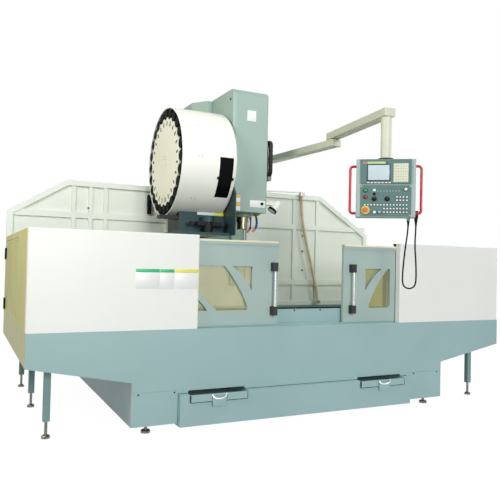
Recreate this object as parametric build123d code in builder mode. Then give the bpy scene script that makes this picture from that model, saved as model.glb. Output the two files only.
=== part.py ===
from build123d import *
from math import cos, sin, radians, pi, sqrt
import os

os.makedirs("parts", exist_ok=True)

# Driving sizes, in millimetres.
# X runs across the machine, Y from front to back, Z up from the floor.

# Enclosure
enclosure_width = 4400
enclosure_depth = 2167
tray_top = 765
tray_end_low = 527
tray_wall = 10
panel_top = 1478
panel_thickness = 60
side_panel_thickness = 40
panel_edge_radius = 12
opening_half_width = 970
hatch_start = 760
hatch_back_margin = 107
hatch_seam = 3
hatch_inset = 45
hatch_handle_reach = 18
hatch_handle_margin = 70
hatch_handle_z = (1310, 830)
hatch_handle_size = (26, 110)

# Base
base_width = 2940
base_bottom = 65
base_top = 387
seam_width = 4
seam_depth = 3
seam_height = 310
foot_radius = 35
foot_pad_height = 22
foot_stud_radius = 12
foot_margin = 135
foot_front = 83
foot_back = 160

# Chip box and its two drawers
chip_box_width = 2180
chip_box_proud = 50
chip_box_depth = 470
chip_box_bottom = 45
chip_box_top = 283
chip_box_gap = 4
chip_box_shift = -26
chip_slot_high = 303
drawer_width = 470
drawer_margin = 79
drawer_low = 221
drawer_high = 276
drawer_depth = 400
drawer_wall = 6
drawer_gap = 6
drawer_face = 12
pull_width = 130
pull_height = 38
pull_depth = 8

# Support legs under the tray
leg_margin = 174
leg_front = 202
leg_back_margin = 107
leg_tube = 48
leg_corner = 6
leg_bottom = 120
leg_rod_radius = 11
leg_pad_radius = 30
leg_pad_chamfer = 6

# Rear guard
guard_thickness = 40
guard_sheet = 8
guard_frame = 55
guard_rib = 40
guard_rail = 64
guard_rail_heights = (1049, 1735)
left_guard_inner = -500
left_guard_peak = (-1636, 2092)
left_guard_end = 1749
left_guard_posts = (-1559, -1385, -1227)
right_guard_inner = 440
right_guard_peak = (1480, 2133)
right_guard_end = 1672
right_guard_posts = (1104, 1438)
apron_top = 1540
apron_slot = 105
apron_slot_low = 1005

# Column
column_width = 880
column_gap = 8
column_depth = 690
column_bottom = 520
column_top = 2780
column_chamfer = 60
column_foot_height = 420
column_foot_spread = 90
pedestal_width = 1500
pedestal_depth = 800
pedestal_chamfer = 120
guideway_x = 290
guideway_width = 90
guideway_depth = 55
guideway_bottom = 1010
cap_height = 220
cap_front = 1660
cap_shoulder = 1835
cap_half_width = 395
cap_nose_half = 275
cap_fillet = 12
cabinet_width = 1000
cabinet_depth = 320
cabinet_low = 1010
cabinet_high = 2000
cabinet_door_proud = 16
cabinet_door_inset = 40

# Head
head_left = -226
head_right = 167
head_front = 1080
head_bottom = 1780
head_top = 3000
head_cover_depth = 570
head_back_top = 2650
head_shoe_half = 360
head_shoe_depth = 90
head_edge_chamfer = 26
head_top_chamfer = 58
slide_gap = 0.3

# Spindle
spindle_y = 1310
spindle_radius = 62
spindle_clearance = 0.5
spindle_nose_radius = 54
spindle_step = 1690
spindle_bottom = 1618
spindle_bore = 35
taper_depth = 100
taper_angle = 8.3
spindle_key = (18, 22, 9)
spindle_flange_radius = 95
spindle_flange_bottom = 1745

# Tool drum
drum_y = 1440
drum_z = 2254
drum_radius = 537
drum_left = -810
drum_right = -246
drum_wall = 8
drum_corner = 46
disc_radius = 440
disc_thickness = 16
pot_count = 24
pot_radius = 50
pot_circle = 472
pot_length = 150
pot_gap = 5
ring_inner_radius = 400
ring_outer_radius = 520
ring_depth = 40
ring_thickness = 14
bracket_thickness = 40
bracket_lap = 225
bracket_step = 140
bracket_cut = 100
bracket_top = 2400
slot_circle = 380
slot_length = 34
slot_breadth = 12
hub_radius = 70
window_left = -436
window_right = -295
window_top_angle = -1
window_bottom_angle = 42

# Bed, saddle and table
bed_half_width = 560
bed_front = 250
bed_back = 2140
bed_top = 480
bed_way_x = 420
bed_way_width = 130
bed_way_height = 35
saddle_half_width = 600
saddle_depth = 720
saddle_rail_y = 250
saddle_rail_width = 130
saddle_rail_height = 34
slide_drop = 30
slide_out = 1330
slide_sheet = 8
table_length = 1700
table_depth = 800
table_y = 1270
table_top = 780
table_thickness = 150
slot_pitch = 150
slot_width = 18
slot_depth = 30
slot_foot_width = 30
slot_foot_height = 13
gutter_width = 22
gutter_depth = 10

# Doors, with the places of their window edges measured from each door's inner edge
door_length = 1060
door_low = 775
door_high = 1450
door_back_gap = 12
door_thickness = 30
door_rim = 34
door_rim_proud = 8
left_door_edge = -250
right_door_edge = 403
window_inner = 236
window_outer = 800
right_window_outer = 511
right_window_corner = 36
band_foot = 275
band_rise = 32
window_low = 893
window_high = 1244
pane_margin = 30
pane_thickness = 5
handle_low = 850
handle_high = 1280
left_handle_inset = 47
right_handle_inset = 81
handle_radius = 9
handle_standoff = 42
handle_block = (44, 72)
handle_block_radius = 5
track_width = 14
track_ledge = 8
sill_front = 120
sill_thickness = 8
sill_top = 900
roller_x = 985
roller_radius = 17
roller_height = 18
roller_bracket = 8

# Pendant and its arms
arm_pivot = (600, 2280)
elbow = (708, 725)
post_place = (583, -250)
arm_height = 66
arm_width = 104
arm_overhang = 60
arm_corner = 6
rear_arm_z = 2482
front_arm_z = 2557
pivot_radius = 48
post_radius = 46
flange_height = 14
bracket_height = 110
bracket_plate = 16
pendant_turn = 36
pendant_width = 484
pendant_depth = 150
pendant_low = 1677
pendant_high = 2158
screen_width = 168
screen_height = 125

# Cam box, its guard and the change arm under the drum
cam_box_left = -720
cam_box_front = 1230
cam_box_back = 1560
cam_box_bottom = 1547
cam_box_top = 1790
pot_lever = (-905, 1250, 1682, 36, 90)
guard_plate_left = -830
guard_plate_front = 1080
guard_plate_thickness = 12
guard_lip = 24
side_plate_thickness = 10
side_plate_top = 2350
side_plate_front = 960
side_plate_back = 1980
side_plate_cut = 150
arm_hub_x = -450
arm_hub_y = 1140
arm_hub_radius = 46
boss_wall = 14
boss_height = 52
change_arm_z = 1625
change_arm_reach = 150
change_arm_width = 54
change_arm_thickness = 34
claw_radius = 44
claw_mouth = 27

# Lamp, coolant pipes and cable loop round the head
lamp_y = 1190
lamp_z = 1862
lamp_stand_off = 146
lamp_length = 120
lamp_radius = 46
lamp_back_radius = 37
lamp_arm = 44
lamp_arm_rise = 30
lamp_tilt = 38
nozzle_radius = 10
nozzle_x = 122
nozzle_rows = (-66, 66)
chain_x = 367
chain_loop_y = 1500
chain_loop_z = 2410
chain_loop_height = 400
chain_loop_width = 130
chain_width = 38
chain_band = 26
chain_bracket_height = 40
chain_lap = 6
chain_gusset = 60

# Hose arm and the conduit that hangs from it in front of the rear guard
hose_arm_radius = 8
hose_arm_lap = 60
hose_arm_straight = 130
hose_arm_bend = 60
hose_arm_z = 2158
hose_arm_end = (1170, 2085)
hose_clamp = (60, 50, 34)
hose_radius = 17
hose_fitting = (64, 62, 40)
hose_fitting_low = 786
hose_drift = 248

# Pendant fittings
pendant_corner = 14
display_low = 1948
screen_across = -62
screen_rise = 8
screen_recess = 6
display_width = 410
display_proud = 14
operator_low = 1682
operator_high = 1940
operator_proud = 6
knob_places = [(-92, 1826), (12, 1826)]
button_places = [(-165, 1896), (-165, 1842), (160, 1905)]
knob_radius = 15
button_radius = 12
knob_proud = 14
stop_place = (-163, 1733)
stop_collar_radius = 34
stop_collar_height = 6
stop_radius = 21
stop_height = 12
grip_reach = 50
grip_radius = 11
grip_low = 1712
grip_high = 2108
grip_corner = 26
cord_radius = 6.5
unit_width = 32
unit_depth = 55
unit_height = 60
unit_back = 44
gland_inset = 47
gland_radius = 14
gland_length = 22

# How far the pendant reaches in front of the skirt, and the skirt's place in Y, which puts
# the origin under the middle of the machine's overall box.
pendant_reach = ((pendant_width / 2 - pendant_corner) * sin(radians(pendant_turn))
                 + (pendant_depth / 2 - pendant_corner) * cos(radians(pendant_turn))
                 + pendant_corner - post_place[1])
column_front = enclosure_depth + column_gap
rear_reach = column_front + column_depth + cabinet_depth + cabinet_door_proud
front_y = (pendant_reach - rear_reach) / 2

half_width = enclosure_width / 2
base_half = base_width / 2
box_half = chip_box_width / 2
drawer_middle = box_half - drawer_margin - drawer_width / 2
drawer_places = (chip_box_shift - drawer_middle, chip_box_shift + drawer_middle)


def at(distance_back):
    """Y of a point that lies this far behind the front skirt."""
    return front_y + distance_back


def front_plane(distance_back):
    """Upright plane facing the front, with its x along X and its y along Z."""
    return Plane.XZ.offset(-at(distance_back))


# Splash tray: a folded steel trough round the foot of the enclosure.
with BuildPart() as splash_tray:
    with BuildSketch(front_plane(0)):
        with BuildLine():
            Polyline((-half_width, tray_top), (-half_width, tray_end_low), (-base_half, base_top),
                     (base_half, base_top), (half_width, tray_end_low), (half_width, tray_top),
                     close=True)
        make_face()
    extrude(amount=-enclosure_depth)
    with BuildSketch(front_plane(tray_wall)):
        with BuildLine():
            inner_half = half_width - tray_wall
            Polyline((-inner_half, tray_top), (-inner_half, tray_end_low + tray_wall),
                     (-base_half, base_top + tray_wall), (base_half, base_top + tray_wall),
                     (inner_half, tray_end_low + tray_wall), (inner_half, tray_top), close=True)
        make_face()
    extrude(amount=-(enclosure_depth - 2 * tray_wall), mode=Mode.SUBTRACT)
splash_tray.part.label = "splash_tray"
export_step(splash_tray.part, "parts/splash_tray.step")

# Base: the plinth under the tray, with a bay in front for the chip box, chip slots over the
# drawers, a seam line at each end and a foot at the back for the column.
bay_half = box_half + chip_box_gap / 2
with BuildPart() as base:
    with BuildSketch(Plane.XY.offset(base_bottom)):
        with Locations((0, at(enclosure_depth / 2))):
            Rectangle(base_width, enclosure_depth)
    extrude(amount=base_top - base_bottom)
    with BuildSketch(front_plane(0)):
        with Locations((chip_box_shift, 0)):
            Rectangle(2 * bay_half, 2 * (chip_box_top + chip_box_gap))
        with Locations(*[(x, chip_box_top) for x in drawer_places]):
            Rectangle(drawer_width, 2 * (chip_slot_high - chip_box_top))
    extrude(amount=-(chip_box_depth - chip_box_proud), mode=Mode.SUBTRACT)
    with BuildSketch(front_plane(0)):
        for side in (-1, 1):
            bay_edge = chip_box_shift + side * bay_half
            with Locations(((side * base_half + bay_edge) / 2, seam_height)):
                Rectangle(base_half - side * bay_edge, seam_width)
    extrude(amount=-seam_depth, mode=Mode.SUBTRACT)
    with BuildSketch(Plane.XY.offset(base_bottom)):
        with Locations((0, at(enclosure_depth + pedestal_depth / 2))):
            Rectangle(pedestal_width, pedestal_depth)
    extrude(amount=column_bottom - base_bottom)
    chamfer(base.edges().filter_by(Axis.Z).group_by(Axis.Y)[-1], pedestal_chamfer)
base.part.label = "base"
export_step(base.part, "parts/base.step")

# Chip box: a steel trough in front of the base with a bay for each drawer.
with BuildPart() as chip_box:
    with BuildSketch(Plane.XY.offset(chip_box_bottom)):
        with Locations((chip_box_shift, at(chip_box_depth / 2 - chip_box_proud))):
            Rectangle(chip_box_width, chip_box_depth)
    extrude(amount=chip_box_top - chip_box_bottom)
    with BuildSketch(front_plane(-chip_box_proud)):
        with Locations(*[(x, chip_box_top) for x in drawer_places]):
            Rectangle(drawer_width + 2 * drawer_gap, 2 * (chip_box_top - drawer_low + slide_gap))
    extrude(amount=-(drawer_depth + drawer_gap), mode=Mode.SUBTRACT)
chip_box.part.label = "chip_box"
export_step(chip_box.part, "parts/chip_box.step")

# Chip drawers: open bins with a flat front and a recessed pull.
for middle, name in zip(drawer_places, ("left_chip_drawer", "right_chip_drawer")):
    with BuildPart() as drawer:
        with BuildSketch(Plane.XY.offset(drawer_low)):
            with Locations((middle, at(drawer_depth / 2 - chip_box_proud))):
                Rectangle(drawer_width, drawer_depth)
        extrude(amount=drawer_high - drawer_low)
        with BuildSketch(Plane.XY.offset(drawer_low + drawer_wall)):
            with Locations((middle, at(drawer_depth / 2 - chip_box_proud))):
                Rectangle(drawer_width - 2 * drawer_wall, drawer_depth - 2 * drawer_wall)
        extrude(amount=drawer_high - drawer_low, mode=Mode.SUBTRACT)
        with BuildSketch(front_plane(-chip_box_proud)):
            with Locations((middle, (drawer_low + drawer_high) / 2)):
                Rectangle(drawer_width, drawer_high - drawer_low)
        extrude(amount=drawer_face)
        with BuildSketch(front_plane(-chip_box_proud - drawer_face)):
            with Locations((middle, (drawer_low + drawer_high) / 2)):
                RectangleRounded(pull_width, pull_height, pull_depth)
        extrude(amount=-pull_depth, mode=Mode.SUBTRACT)
    drawer.part.label = name
    export_step(drawer.part, f"parts/{name}.step")

# Support legs: square tubes with a plate at the top, on round screw feet.
leg_back = enclosure_depth - leg_back_margin
leg_rows = (leg_front, (leg_front + leg_back) / 2 + leg_tube, leg_back)
leg_x = half_width - leg_margin
leg_places = [(x, at(y)) for x in (-leg_x, leg_x) for y in leg_rows]
leg_share = (leg_x - base_half) / (half_width - base_half)
leg_top = base_top + (tray_end_low - base_top) * leg_share
leg_slope = (tray_end_low - base_top) / (half_width - base_half)
with BuildPart() as support_legs:
    with BuildSketch(Plane.XY.offset(leg_bottom)):
        with Locations(leg_places):
            RectangleRounded(leg_tube, leg_tube, leg_corner)
    extrude(amount=leg_top + leg_slope * leg_tube - leg_bottom)
    with BuildSketch(front_plane(0)):
        with BuildLine():
            Polyline((-half_width, tray_end_low), (-base_half, base_top), (base_half, base_top),
                     (half_width, tray_end_low), (half_width, tray_top), (-half_width, tray_top),
                     close=True)
        make_face()
    extrude(amount=-enclosure_depth, mode=Mode.SUBTRACT)
support_legs.part.label = "support_legs"
export_step(support_legs.part, "parts/support_legs.step")


# Levelling feet: a round pad and a stud under the castings and under every leg.
outer_rows = (foot_front, enclosure_depth / 2, enclosure_depth - foot_back)
inner_rows = (enclosure_depth / 3, 2 * enclosure_depth / 3)
foot_x = base_half - foot_margin
back_foot_x = pedestal_width / 2 - pedestal_chamfer - foot_back
foot_places = [(x, at(y)) for y in outer_rows for x in (-foot_x, foot_x)]
foot_places += [(x, at(y)) for y in inner_rows for x in (-foot_x / 3, foot_x / 3)]
foot_places += [(x, at(enclosure_depth + pedestal_depth - foot_back)) for x in (-back_foot_x, back_foot_x)]
with BuildPart() as levelling_feet:
    with BuildSketch(Plane.XY):
        with Locations(foot_places):
            Circle(foot_radius)
        with Locations(leg_places):
            Circle(leg_pad_radius)
    extrude(amount=foot_pad_height)
    chamfer(levelling_feet.edges().group_by(Axis.Z)[-1], leg_pad_chamfer)
    with BuildSketch(Plane.XY.offset(foot_pad_height)):
        with Locations(foot_places):
            Circle(foot_stud_radius)
    extrude(amount=base_bottom - foot_pad_height)
    with BuildSketch(Plane.XY.offset(foot_pad_height)):
        with Locations(leg_places):
            Circle(leg_rod_radius)
    extrude(amount=leg_bottom - foot_pad_height)
levelling_feet.part.label = "levelling_feet"
export_step(levelling_feet.part, "parts/levelling_feet.step")

# White front panels on each side of the door opening.
panel_width = half_width - opening_half_width
panel_middle = opening_half_width + panel_width / 2
with BuildPart() as front_panels:
    with BuildSketch(Plane.XY.offset(tray_top)):
        with Locations((-panel_middle, at(panel_thickness / 2)), (panel_middle, at(panel_thickness / 2))):
            Rectangle(panel_width, panel_thickness)
    extrude(amount=panel_top - tray_top)
    fillet(front_panels.faces().filter_by(Axis.Y).group_by(Axis.Y)[0].edges().filter_by(Axis.Z),
           panel_edge_radius)
    fillet(front_panels.faces().filter_by(Axis.Y).group_by(Axis.Y)[0].edges().group_by(Axis.Z)[-1], 6)
front_panels.part.label = "front_panels"
export_step(front_panels.part, "parts/front_panels.step")

# Side panels with a hatch opening, and the lift-off hatches that close them.
side_length = enclosure_depth - guard_thickness - panel_thickness
hatch_end = enclosure_depth - hatch_back_margin
hatch_middle = (hatch_start + hatch_end) / 2
hatch_length = hatch_end - hatch_start
hatch_z = (tray_top + panel_top) / 2
hatch_height = panel_top - tray_top - 2 * hatch_inset
with BuildPart() as side_panels:
    for side in (-1, 1):
        with BuildSketch(Plane.YZ.offset(side * half_width)):
            with Locations((at(panel_thickness + side_length / 2), hatch_z)):
                Rectangle(side_length, panel_top - tray_top)
            with Locations((at(hatch_middle), hatch_z)):
                Rectangle(hatch_length, hatch_height, mode=Mode.SUBTRACT)
        extrude(amount=-side * side_panel_thickness)
side_panels.part.label = "side_panels"
export_step(side_panels.part, "parts/side_panels.step")

with BuildPart() as side_hatches:
    for side in (-1, 1):
        with BuildSketch(Plane.YZ.offset(side * half_width)):
            with Locations((at(hatch_middle), hatch_z - hatch_seam / 2)):
                Rectangle(hatch_length - 2 * hatch_seam, hatch_height - hatch_seam)
        extrude(amount=-side * side_panel_thickness)
        with BuildSketch(Plane.YZ.offset(side * half_width)):
            with Locations(*[(at(hatch_end - hatch_handle_margin), z) for z in hatch_handle_z]):
                RectangleRounded(hatch_handle_size[0], hatch_handle_size[1], hatch_handle_size[0] / 3)
        extrude(amount=side * hatch_handle_reach)
side_hatches.part.label = "side_hatches"
export_step(side_hatches.part, "parts/side_hatches.step")

# Rear guards: a tall framed sheet with cross rails and posts on each side of the column, and
# the apron sheet that joins them across the foot of the column, open where its ways run.
with BuildPart() as rear_guards:
    for edge, inner, peak, end, posts in (
            (-half_width, left_guard_inner, left_guard_peak, left_guard_end, left_guard_posts),
            (half_width, right_guard_inner, right_guard_peak, right_guard_end, right_guard_posts)):
        with BuildSketch(front_plane(enclosure_depth)) as guard_outline:
            with BuildLine():
                Polyline((inner, tray_top), (edge, tray_top), (edge, end), peak, (inner, peak[1]),
                         close=True)
            make_face()
        extrude(amount=guard_sheet)
        with BuildSketch(front_plane(enclosure_depth)):
            add(guard_outline.sketch)
            offset(amount=-guard_frame, mode=Mode.SUBTRACT)
        extrude(amount=guard_thickness)
        with BuildSketch(front_plane(enclosure_depth)):
            for height in guard_rail_heights:
                with Locations(((inner + edge) / 2, height)):
                    Rectangle(abs(edge - inner) - guard_frame, guard_rail)
            for place in posts:
                with Locations((place, (tray_top + peak[1]) / 2)):
                    Rectangle(guard_rib, peak[1] - tray_top - guard_frame)
        extrude(amount=guard_thickness - 10)
    with BuildSketch(front_plane(enclosure_depth)):
        with Locations(((left_guard_inner + right_guard_inner) / 2, (tray_top + apron_top) / 2)):
            Rectangle(right_guard_inner - left_guard_inner, apron_top - tray_top)
        with Locations(*[(x, (apron_slot_low + apron_top) / 2) for x in (-guideway_x, guideway_x)]):
            Rectangle(apron_slot, apron_top - apron_slot_low, mode=Mode.SUBTRACT)
    extrude(amount=guard_sheet)
rear_guards.part.label = "rear_guards"
export_step(rear_guards.part, "parts/rear_guards.step")

# Column: the tall casting behind the enclosure, flared at its foot, with two box ways.
column_middle = at(column_front + column_depth / 2)
foot_top = column_bottom + column_foot_height
with BuildPart() as column:
    with BuildSketch(Plane.XY.offset(column_bottom)):
        with Locations((0, column_middle + column_foot_spread / 2)):
            Rectangle(column_width + 2 * column_foot_spread, column_depth + column_foot_spread)
    with BuildSketch(Plane.XY.offset(foot_top)):
        with Locations((0, column_middle)):
            Rectangle(column_width, column_depth)
    loft()
    with BuildSketch(Plane.XY.offset(foot_top)):
        with Locations((0, column_middle)):
            Rectangle(column_width, column_depth)
    extrude(amount=column_top - foot_top)
    with BuildSketch(Plane.XY.offset(guideway_bottom)):
        way_y = at(column_front - guideway_depth / 2)
        with Locations((-guideway_x, way_y), (guideway_x, way_y)):
            Rectangle(guideway_width, guideway_depth)
    extrude(amount=column_top - guideway_bottom)
column.part.label = "column"
export_step(column.part, "parts/column.step")

# Column cap: the sheet hood over the top of the column, cut off at its front corners.
with BuildPart() as column_cap:
    with BuildSketch(Plane.XY.offset(column_top)):
        with BuildLine():
            cap_back = at(column_front + column_depth)
            Polyline((-cap_half_width, cap_back), (-cap_half_width, at(cap_shoulder)),
                     (-cap_nose_half, at(cap_front)), (cap_nose_half, at(cap_front)),
                     (cap_half_width, at(cap_shoulder)), (cap_half_width, cap_back), close=True)
        make_face()
    extrude(amount=cap_height)
    fillet(column_cap.faces().sort_by(Axis.Z)[-1].edges(), cap_fillet)
column_cap.part.label = "column_cap"
export_step(column_cap.part, "parts/column_cap.step")

# Electrical cabinet on the back of the column, with two doors.
cabinet_middle_z = (cabinet_low + cabinet_high) / 2
cabinet_front = column_front + column_depth
with BuildPart() as electrical_cabinet:
    with BuildSketch(front_plane(cabinet_front)):
        with Locations((0, cabinet_middle_z)):
            Rectangle(cabinet_width, cabinet_high - cabinet_low)
    extrude(amount=-cabinet_depth)
    with BuildSketch(front_plane(cabinet_front + cabinet_depth)):
        door_share = (cabinet_width - 3 * cabinet_door_inset) / 2
        door_across = (door_share + cabinet_door_inset) / 2
        with Locations((-door_across, cabinet_middle_z), (door_across, cabinet_middle_z)):
            Rectangle(door_share, cabinet_high - cabinet_low - 2 * cabinet_door_inset)
    extrude(amount=-cabinet_door_proud)
electrical_cabinet.part.label = "electrical_cabinet"
export_step(electrical_cabinet.part, "parts/electrical_cabinet.step")

# Head: the slide on the column ways, the tall cover in front of it and the spindle flange.
slide_back = at(column_front - guideway_depth - slide_gap)
cover_back = at(head_front + head_cover_depth)
with BuildPart() as head:
    with BuildSketch(Plane.YZ.offset(head_left)):
        with BuildLine():
            Polyline((at(head_front), head_bottom), (slide_back, head_bottom),
                     (slide_back, head_back_top), (cover_back, head_back_top),
                     (cover_back, head_top), (at(head_front + head_top_chamfer), head_top),
                     (at(head_front), head_top - head_top_chamfer), close=True)
        make_face()
    extrude(amount=head_right - head_left)
    chamfer(head.faces().sort_by(Axis.Y)[0].edges().filter_by(Axis.Z), head_edge_chamfer)
    with BuildSketch(Plane.XY.offset(head_bottom)):
        with Locations((0, slide_back - head_shoe_depth / 2)):
            Rectangle(2 * head_shoe_half, head_shoe_depth)
    extrude(amount=head_back_top - head_bottom)
    with BuildSketch(Plane.XY.offset(head_bottom)):
        with Locations((0, at(spindle_y))):
            Circle(spindle_flange_radius)
            Circle(spindle_radius + spindle_clearance, mode=Mode.SUBTRACT)
    extrude(amount=spindle_flange_bottom - head_bottom)
head.part.label = "head"
export_step(head.part, "parts/head.step")

# Spindle nose: the stepped steel cylinder that turns, with its taper and two driving keys.
spindle_axis = Plane(origin=(0, at(spindle_y), 0), x_dir=(1, 0, 0), z_dir=(0, -1, 0))
with BuildPart() as spindle_nose:
    with BuildSketch(spindle_axis):
        with BuildLine():
            taper_top = spindle_bore - taper_depth * sin(radians(taper_angle)) / cos(radians(taper_angle))
            Polyline((0, spindle_bottom + taper_depth), (taper_top, spindle_bottom + taper_depth),
                     (spindle_bore, spindle_bottom), (spindle_nose_radius - 4, spindle_bottom),
                     (spindle_nose_radius, spindle_bottom + 4), (spindle_nose_radius, spindle_step),
                     (spindle_radius, spindle_step), (spindle_radius, head_bottom - slide_gap),
                     (0, head_bottom - slide_gap), close=True)
        make_face()
    revolve(axis=Axis((0, at(spindle_y), 0), (0, 0, 1)))
    with BuildSketch(Plane.XY.offset(spindle_bottom)):
        key_across = (spindle_bore + spindle_nose_radius) / 2
        with Locations((-key_across, at(spindle_y)), (key_across, at(spindle_y))):
            Rectangle(spindle_key[0], spindle_key[1])
    extrude(amount=-spindle_key[2])
spindle_nose.part.label = "spindle_nose"
export_step(spindle_nose.part, "parts/spindle_nose.step")

# Drum cover: the round white housing of the tool drum, open to the left.
drum_plane = Plane(origin=(drum_right, at(drum_y), drum_z), x_dir=(0, 1, 0), z_dir=(-1, 0, 0))


def window_wedge(reach):
    """Closed wedge from the drum's axis out to this reach, between the window's two angles,
    which count downwards from the level of the axis."""
    top, middle, bottom = [(-reach * cos(angle), reach * sin(angle)) for angle in
                           (radians(window_top_angle),
                            radians((window_top_angle + window_bottom_angle) / 2),
                            radians(window_bottom_angle))]
    ThreePointArc(top, middle, bottom)
    Line(bottom, (0, 0))
    Line((0, 0), top)


drum_length = drum_right - drum_left
shell_plane = Plane(origin=(drum_right, at(drum_y), drum_z), x_dir=(-1, 0, 0), z_dir=(0, -1, 0))
with BuildPart() as drum_cover:
    with BuildSketch(shell_plane) as shell:
        with BuildLine():
            Polyline((0, 0), (0, drum_radius), (drum_length, drum_radius),
                     (drum_length, drum_radius - drum_wall), (drum_wall, drum_radius - drum_wall),
                     (drum_wall, 0), close=True)
        make_face()
        fillet(shell.vertices().sort_by_distance((0, drum_radius))[0], drum_corner)
        fillet(shell.vertices().sort_by_distance((drum_wall, drum_radius - drum_wall))[0],
               drum_corner - drum_wall)
    revolve(axis=Axis((drum_right, at(drum_y), drum_z), (1, 0, 0)))
    with BuildSketch(drum_plane.offset(drum_right - window_right)):
        with BuildLine():
            window_wedge(drum_radius + 5)
        make_face()
    extrude(amount=window_right - window_left, mode=Mode.SUBTRACT)
drum_cover.part.label = "drum_cover"
export_step(drum_cover.part, "parts/drum_cover.step")

# Drum window: a dark curved pane that closes the loading window of the cover.
with BuildPart() as drum_window:
    with BuildSketch(drum_plane.offset(drum_right - window_right)):
        with BuildLine():
            window_wedge(drum_radius - 3)
        make_face()
        Circle(drum_radius - 7, mode=Mode.SUBTRACT)
    extrude(amount=window_right - window_left)
drum_window.part.label = "drum_window"
export_step(drum_window.part, "parts/drum_window.step")

# Tool disc: the scalloped plate and its hub, turning inside the mouth of the cover.
disc_back = drum_right - drum_left - disc_thickness
with BuildPart() as tool_disc:
    with BuildSketch(drum_plane.offset(disc_back)):
        Circle(disc_radius)
        with PolarLocations(pot_circle, pot_count):
            Circle(pot_radius + pot_gap, mode=Mode.SUBTRACT)
        with PolarLocations(slot_circle, pot_count, start_angle=180 / pot_count):
            SlotOverall(slot_length, slot_breadth, mode=Mode.SUBTRACT)
    extrude(amount=disc_thickness)
    with BuildSketch(drum_plane.offset(disc_back)):
        Circle(ring_inner_radius + 20)
    extrude(amount=-ring_depth)
    with BuildSketch(drum_plane.offset(disc_back - ring_depth)):
        Circle(hub_radius)
    extrude(amount=-(disc_back - ring_depth - drum_wall - slide_gap))
tool_disc.part.label = "tool_disc"
export_step(tool_disc.part, "parts/tool_disc.step")

# Tool pots: one black cup at each station, joined by the ring they hang on.
with BuildPart() as tool_pots:
    with BuildSketch(drum_plane.offset(disc_back + disc_thickness)):
        with PolarLocations(pot_circle, pot_count):
            Circle(pot_radius)
    extrude(amount=-pot_length)
    chamfer(tool_pots.edges().group_by(Axis.X)[0], 5)
    with BuildSketch(drum_plane.offset(disc_back - ring_depth)):
        Circle(ring_outer_radius)
        Circle(ring_inner_radius, mode=Mode.SUBTRACT)
    extrude(amount=-ring_thickness)
tool_pots.part.label = "tool_pots"
export_step(tool_pots.part, "parts/tool_pots.step")

# Changer bracket: a plate on the column's flank that carries the drum and the cam box.
with BuildPart() as changer_bracket:
    with BuildSketch(Plane.YZ.offset(-column_width / 2)):
        with BuildLine():
            bracket_back = at(column_front + bracket_lap)
            bracket_front = at(cam_box_back + bracket_step)
            Polyline((at(cam_box_back), cam_box_bottom), (bracket_back, cam_box_bottom),
                     (bracket_back, bracket_top - bracket_cut), (bracket_back - bracket_cut, bracket_top),
                     (bracket_front, bracket_top), (bracket_front, cam_box_top),
                     (at(cam_box_back), cam_box_top), close=True)
        make_face()
    extrude(amount=-bracket_thickness)
    with BuildSketch(drum_plane):
        Circle(drum_radius)
    extrude(amount=drum_right - drum_left, mode=Mode.SUBTRACT)
changer_bracket.part.label = "changer_bracket"
export_step(changer_bracket.part, "parts/changer_bracket.step")

# Cam box of the tool changer: it seats against the underside of the drum, with the boss that
# the change arm turns in and the lever arm that tips a pot, on the left.
with BuildPart() as changer_gearbox:
    with BuildSketch(Plane.XY.offset(cam_box_bottom)):
        with Locations(((cam_box_left + drum_right) / 2, at((cam_box_front + cam_box_back) / 2))):
            Rectangle(drum_right - cam_box_left, cam_box_back - cam_box_front)
    extrude(amount=cam_box_top - cam_box_bottom)
    with BuildSketch(Plane.XY.offset(change_arm_z + change_arm_thickness + slide_gap)):
        with Locations((arm_hub_x, at(arm_hub_y))):
            Circle(arm_hub_radius + boss_wall)
        with Locations((arm_hub_x, at((arm_hub_y + cam_box_front) / 2))):
            Rectangle(2 * (arm_hub_radius + boss_wall), cam_box_front - arm_hub_y)
    extrude(amount=boss_height)
    lever_left, lever_y, lever_z, lever_height, lever_width = pot_lever
    with BuildSketch(Plane.XY.offset(lever_z)):
        with Locations(((lever_left + cam_box_left) / 2, at(lever_y + lever_width / 2))):
            Rectangle(cam_box_left - lever_left, lever_width)
    extrude(amount=lever_height)
    with BuildSketch(drum_plane):
        Circle(drum_radius)
    extrude(amount=drum_right - drum_left, mode=Mode.SUBTRACT)
changer_gearbox.part.label = "changer_gearbox"
export_step(changer_gearbox.part, "parts/changer_gearbox.step")

# Changer guard: the upright plate between the drum and the head, with the sheet folded from
# its foot under the change arm.
guard_right = drum_right + side_plate_thickness
guard_middle = (guard_plate_left + guard_right) / 2
guard_bottom = cam_box_bottom - guard_plate_thickness
with BuildPart() as changer_guard:
    with BuildSketch(Plane.YZ.offset(drum_right)):
        with BuildLine():
            Polyline((at(side_plate_front), guard_bottom), (at(side_plate_back), guard_bottom),
                     (at(side_plate_back), side_plate_top), (at(drum_y - side_plate_cut), side_plate_top),
                     (at(side_plate_front), cam_box_top + side_plate_cut), close=True)
        make_face()
    extrude(amount=side_plate_thickness)
    with BuildSketch(Plane.XY.offset(guard_bottom)):
        with Locations((guard_middle, at((guard_plate_front + cam_box_back) / 2))):
            Rectangle(guard_right - guard_plate_left, cam_box_back - guard_plate_front)
    extrude(amount=guard_plate_thickness)
    with BuildSketch(front_plane(guard_plate_front)):
        with Locations((guard_middle, guard_bottom + guard_lip / 2)):
            Rectangle(guard_right - guard_plate_left, guard_lip)
    extrude(amount=-guard_plate_thickness)
changer_guard.part.label = "changer_guard"
export_step(changer_guard.part, "parts/changer_guard.step")

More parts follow.
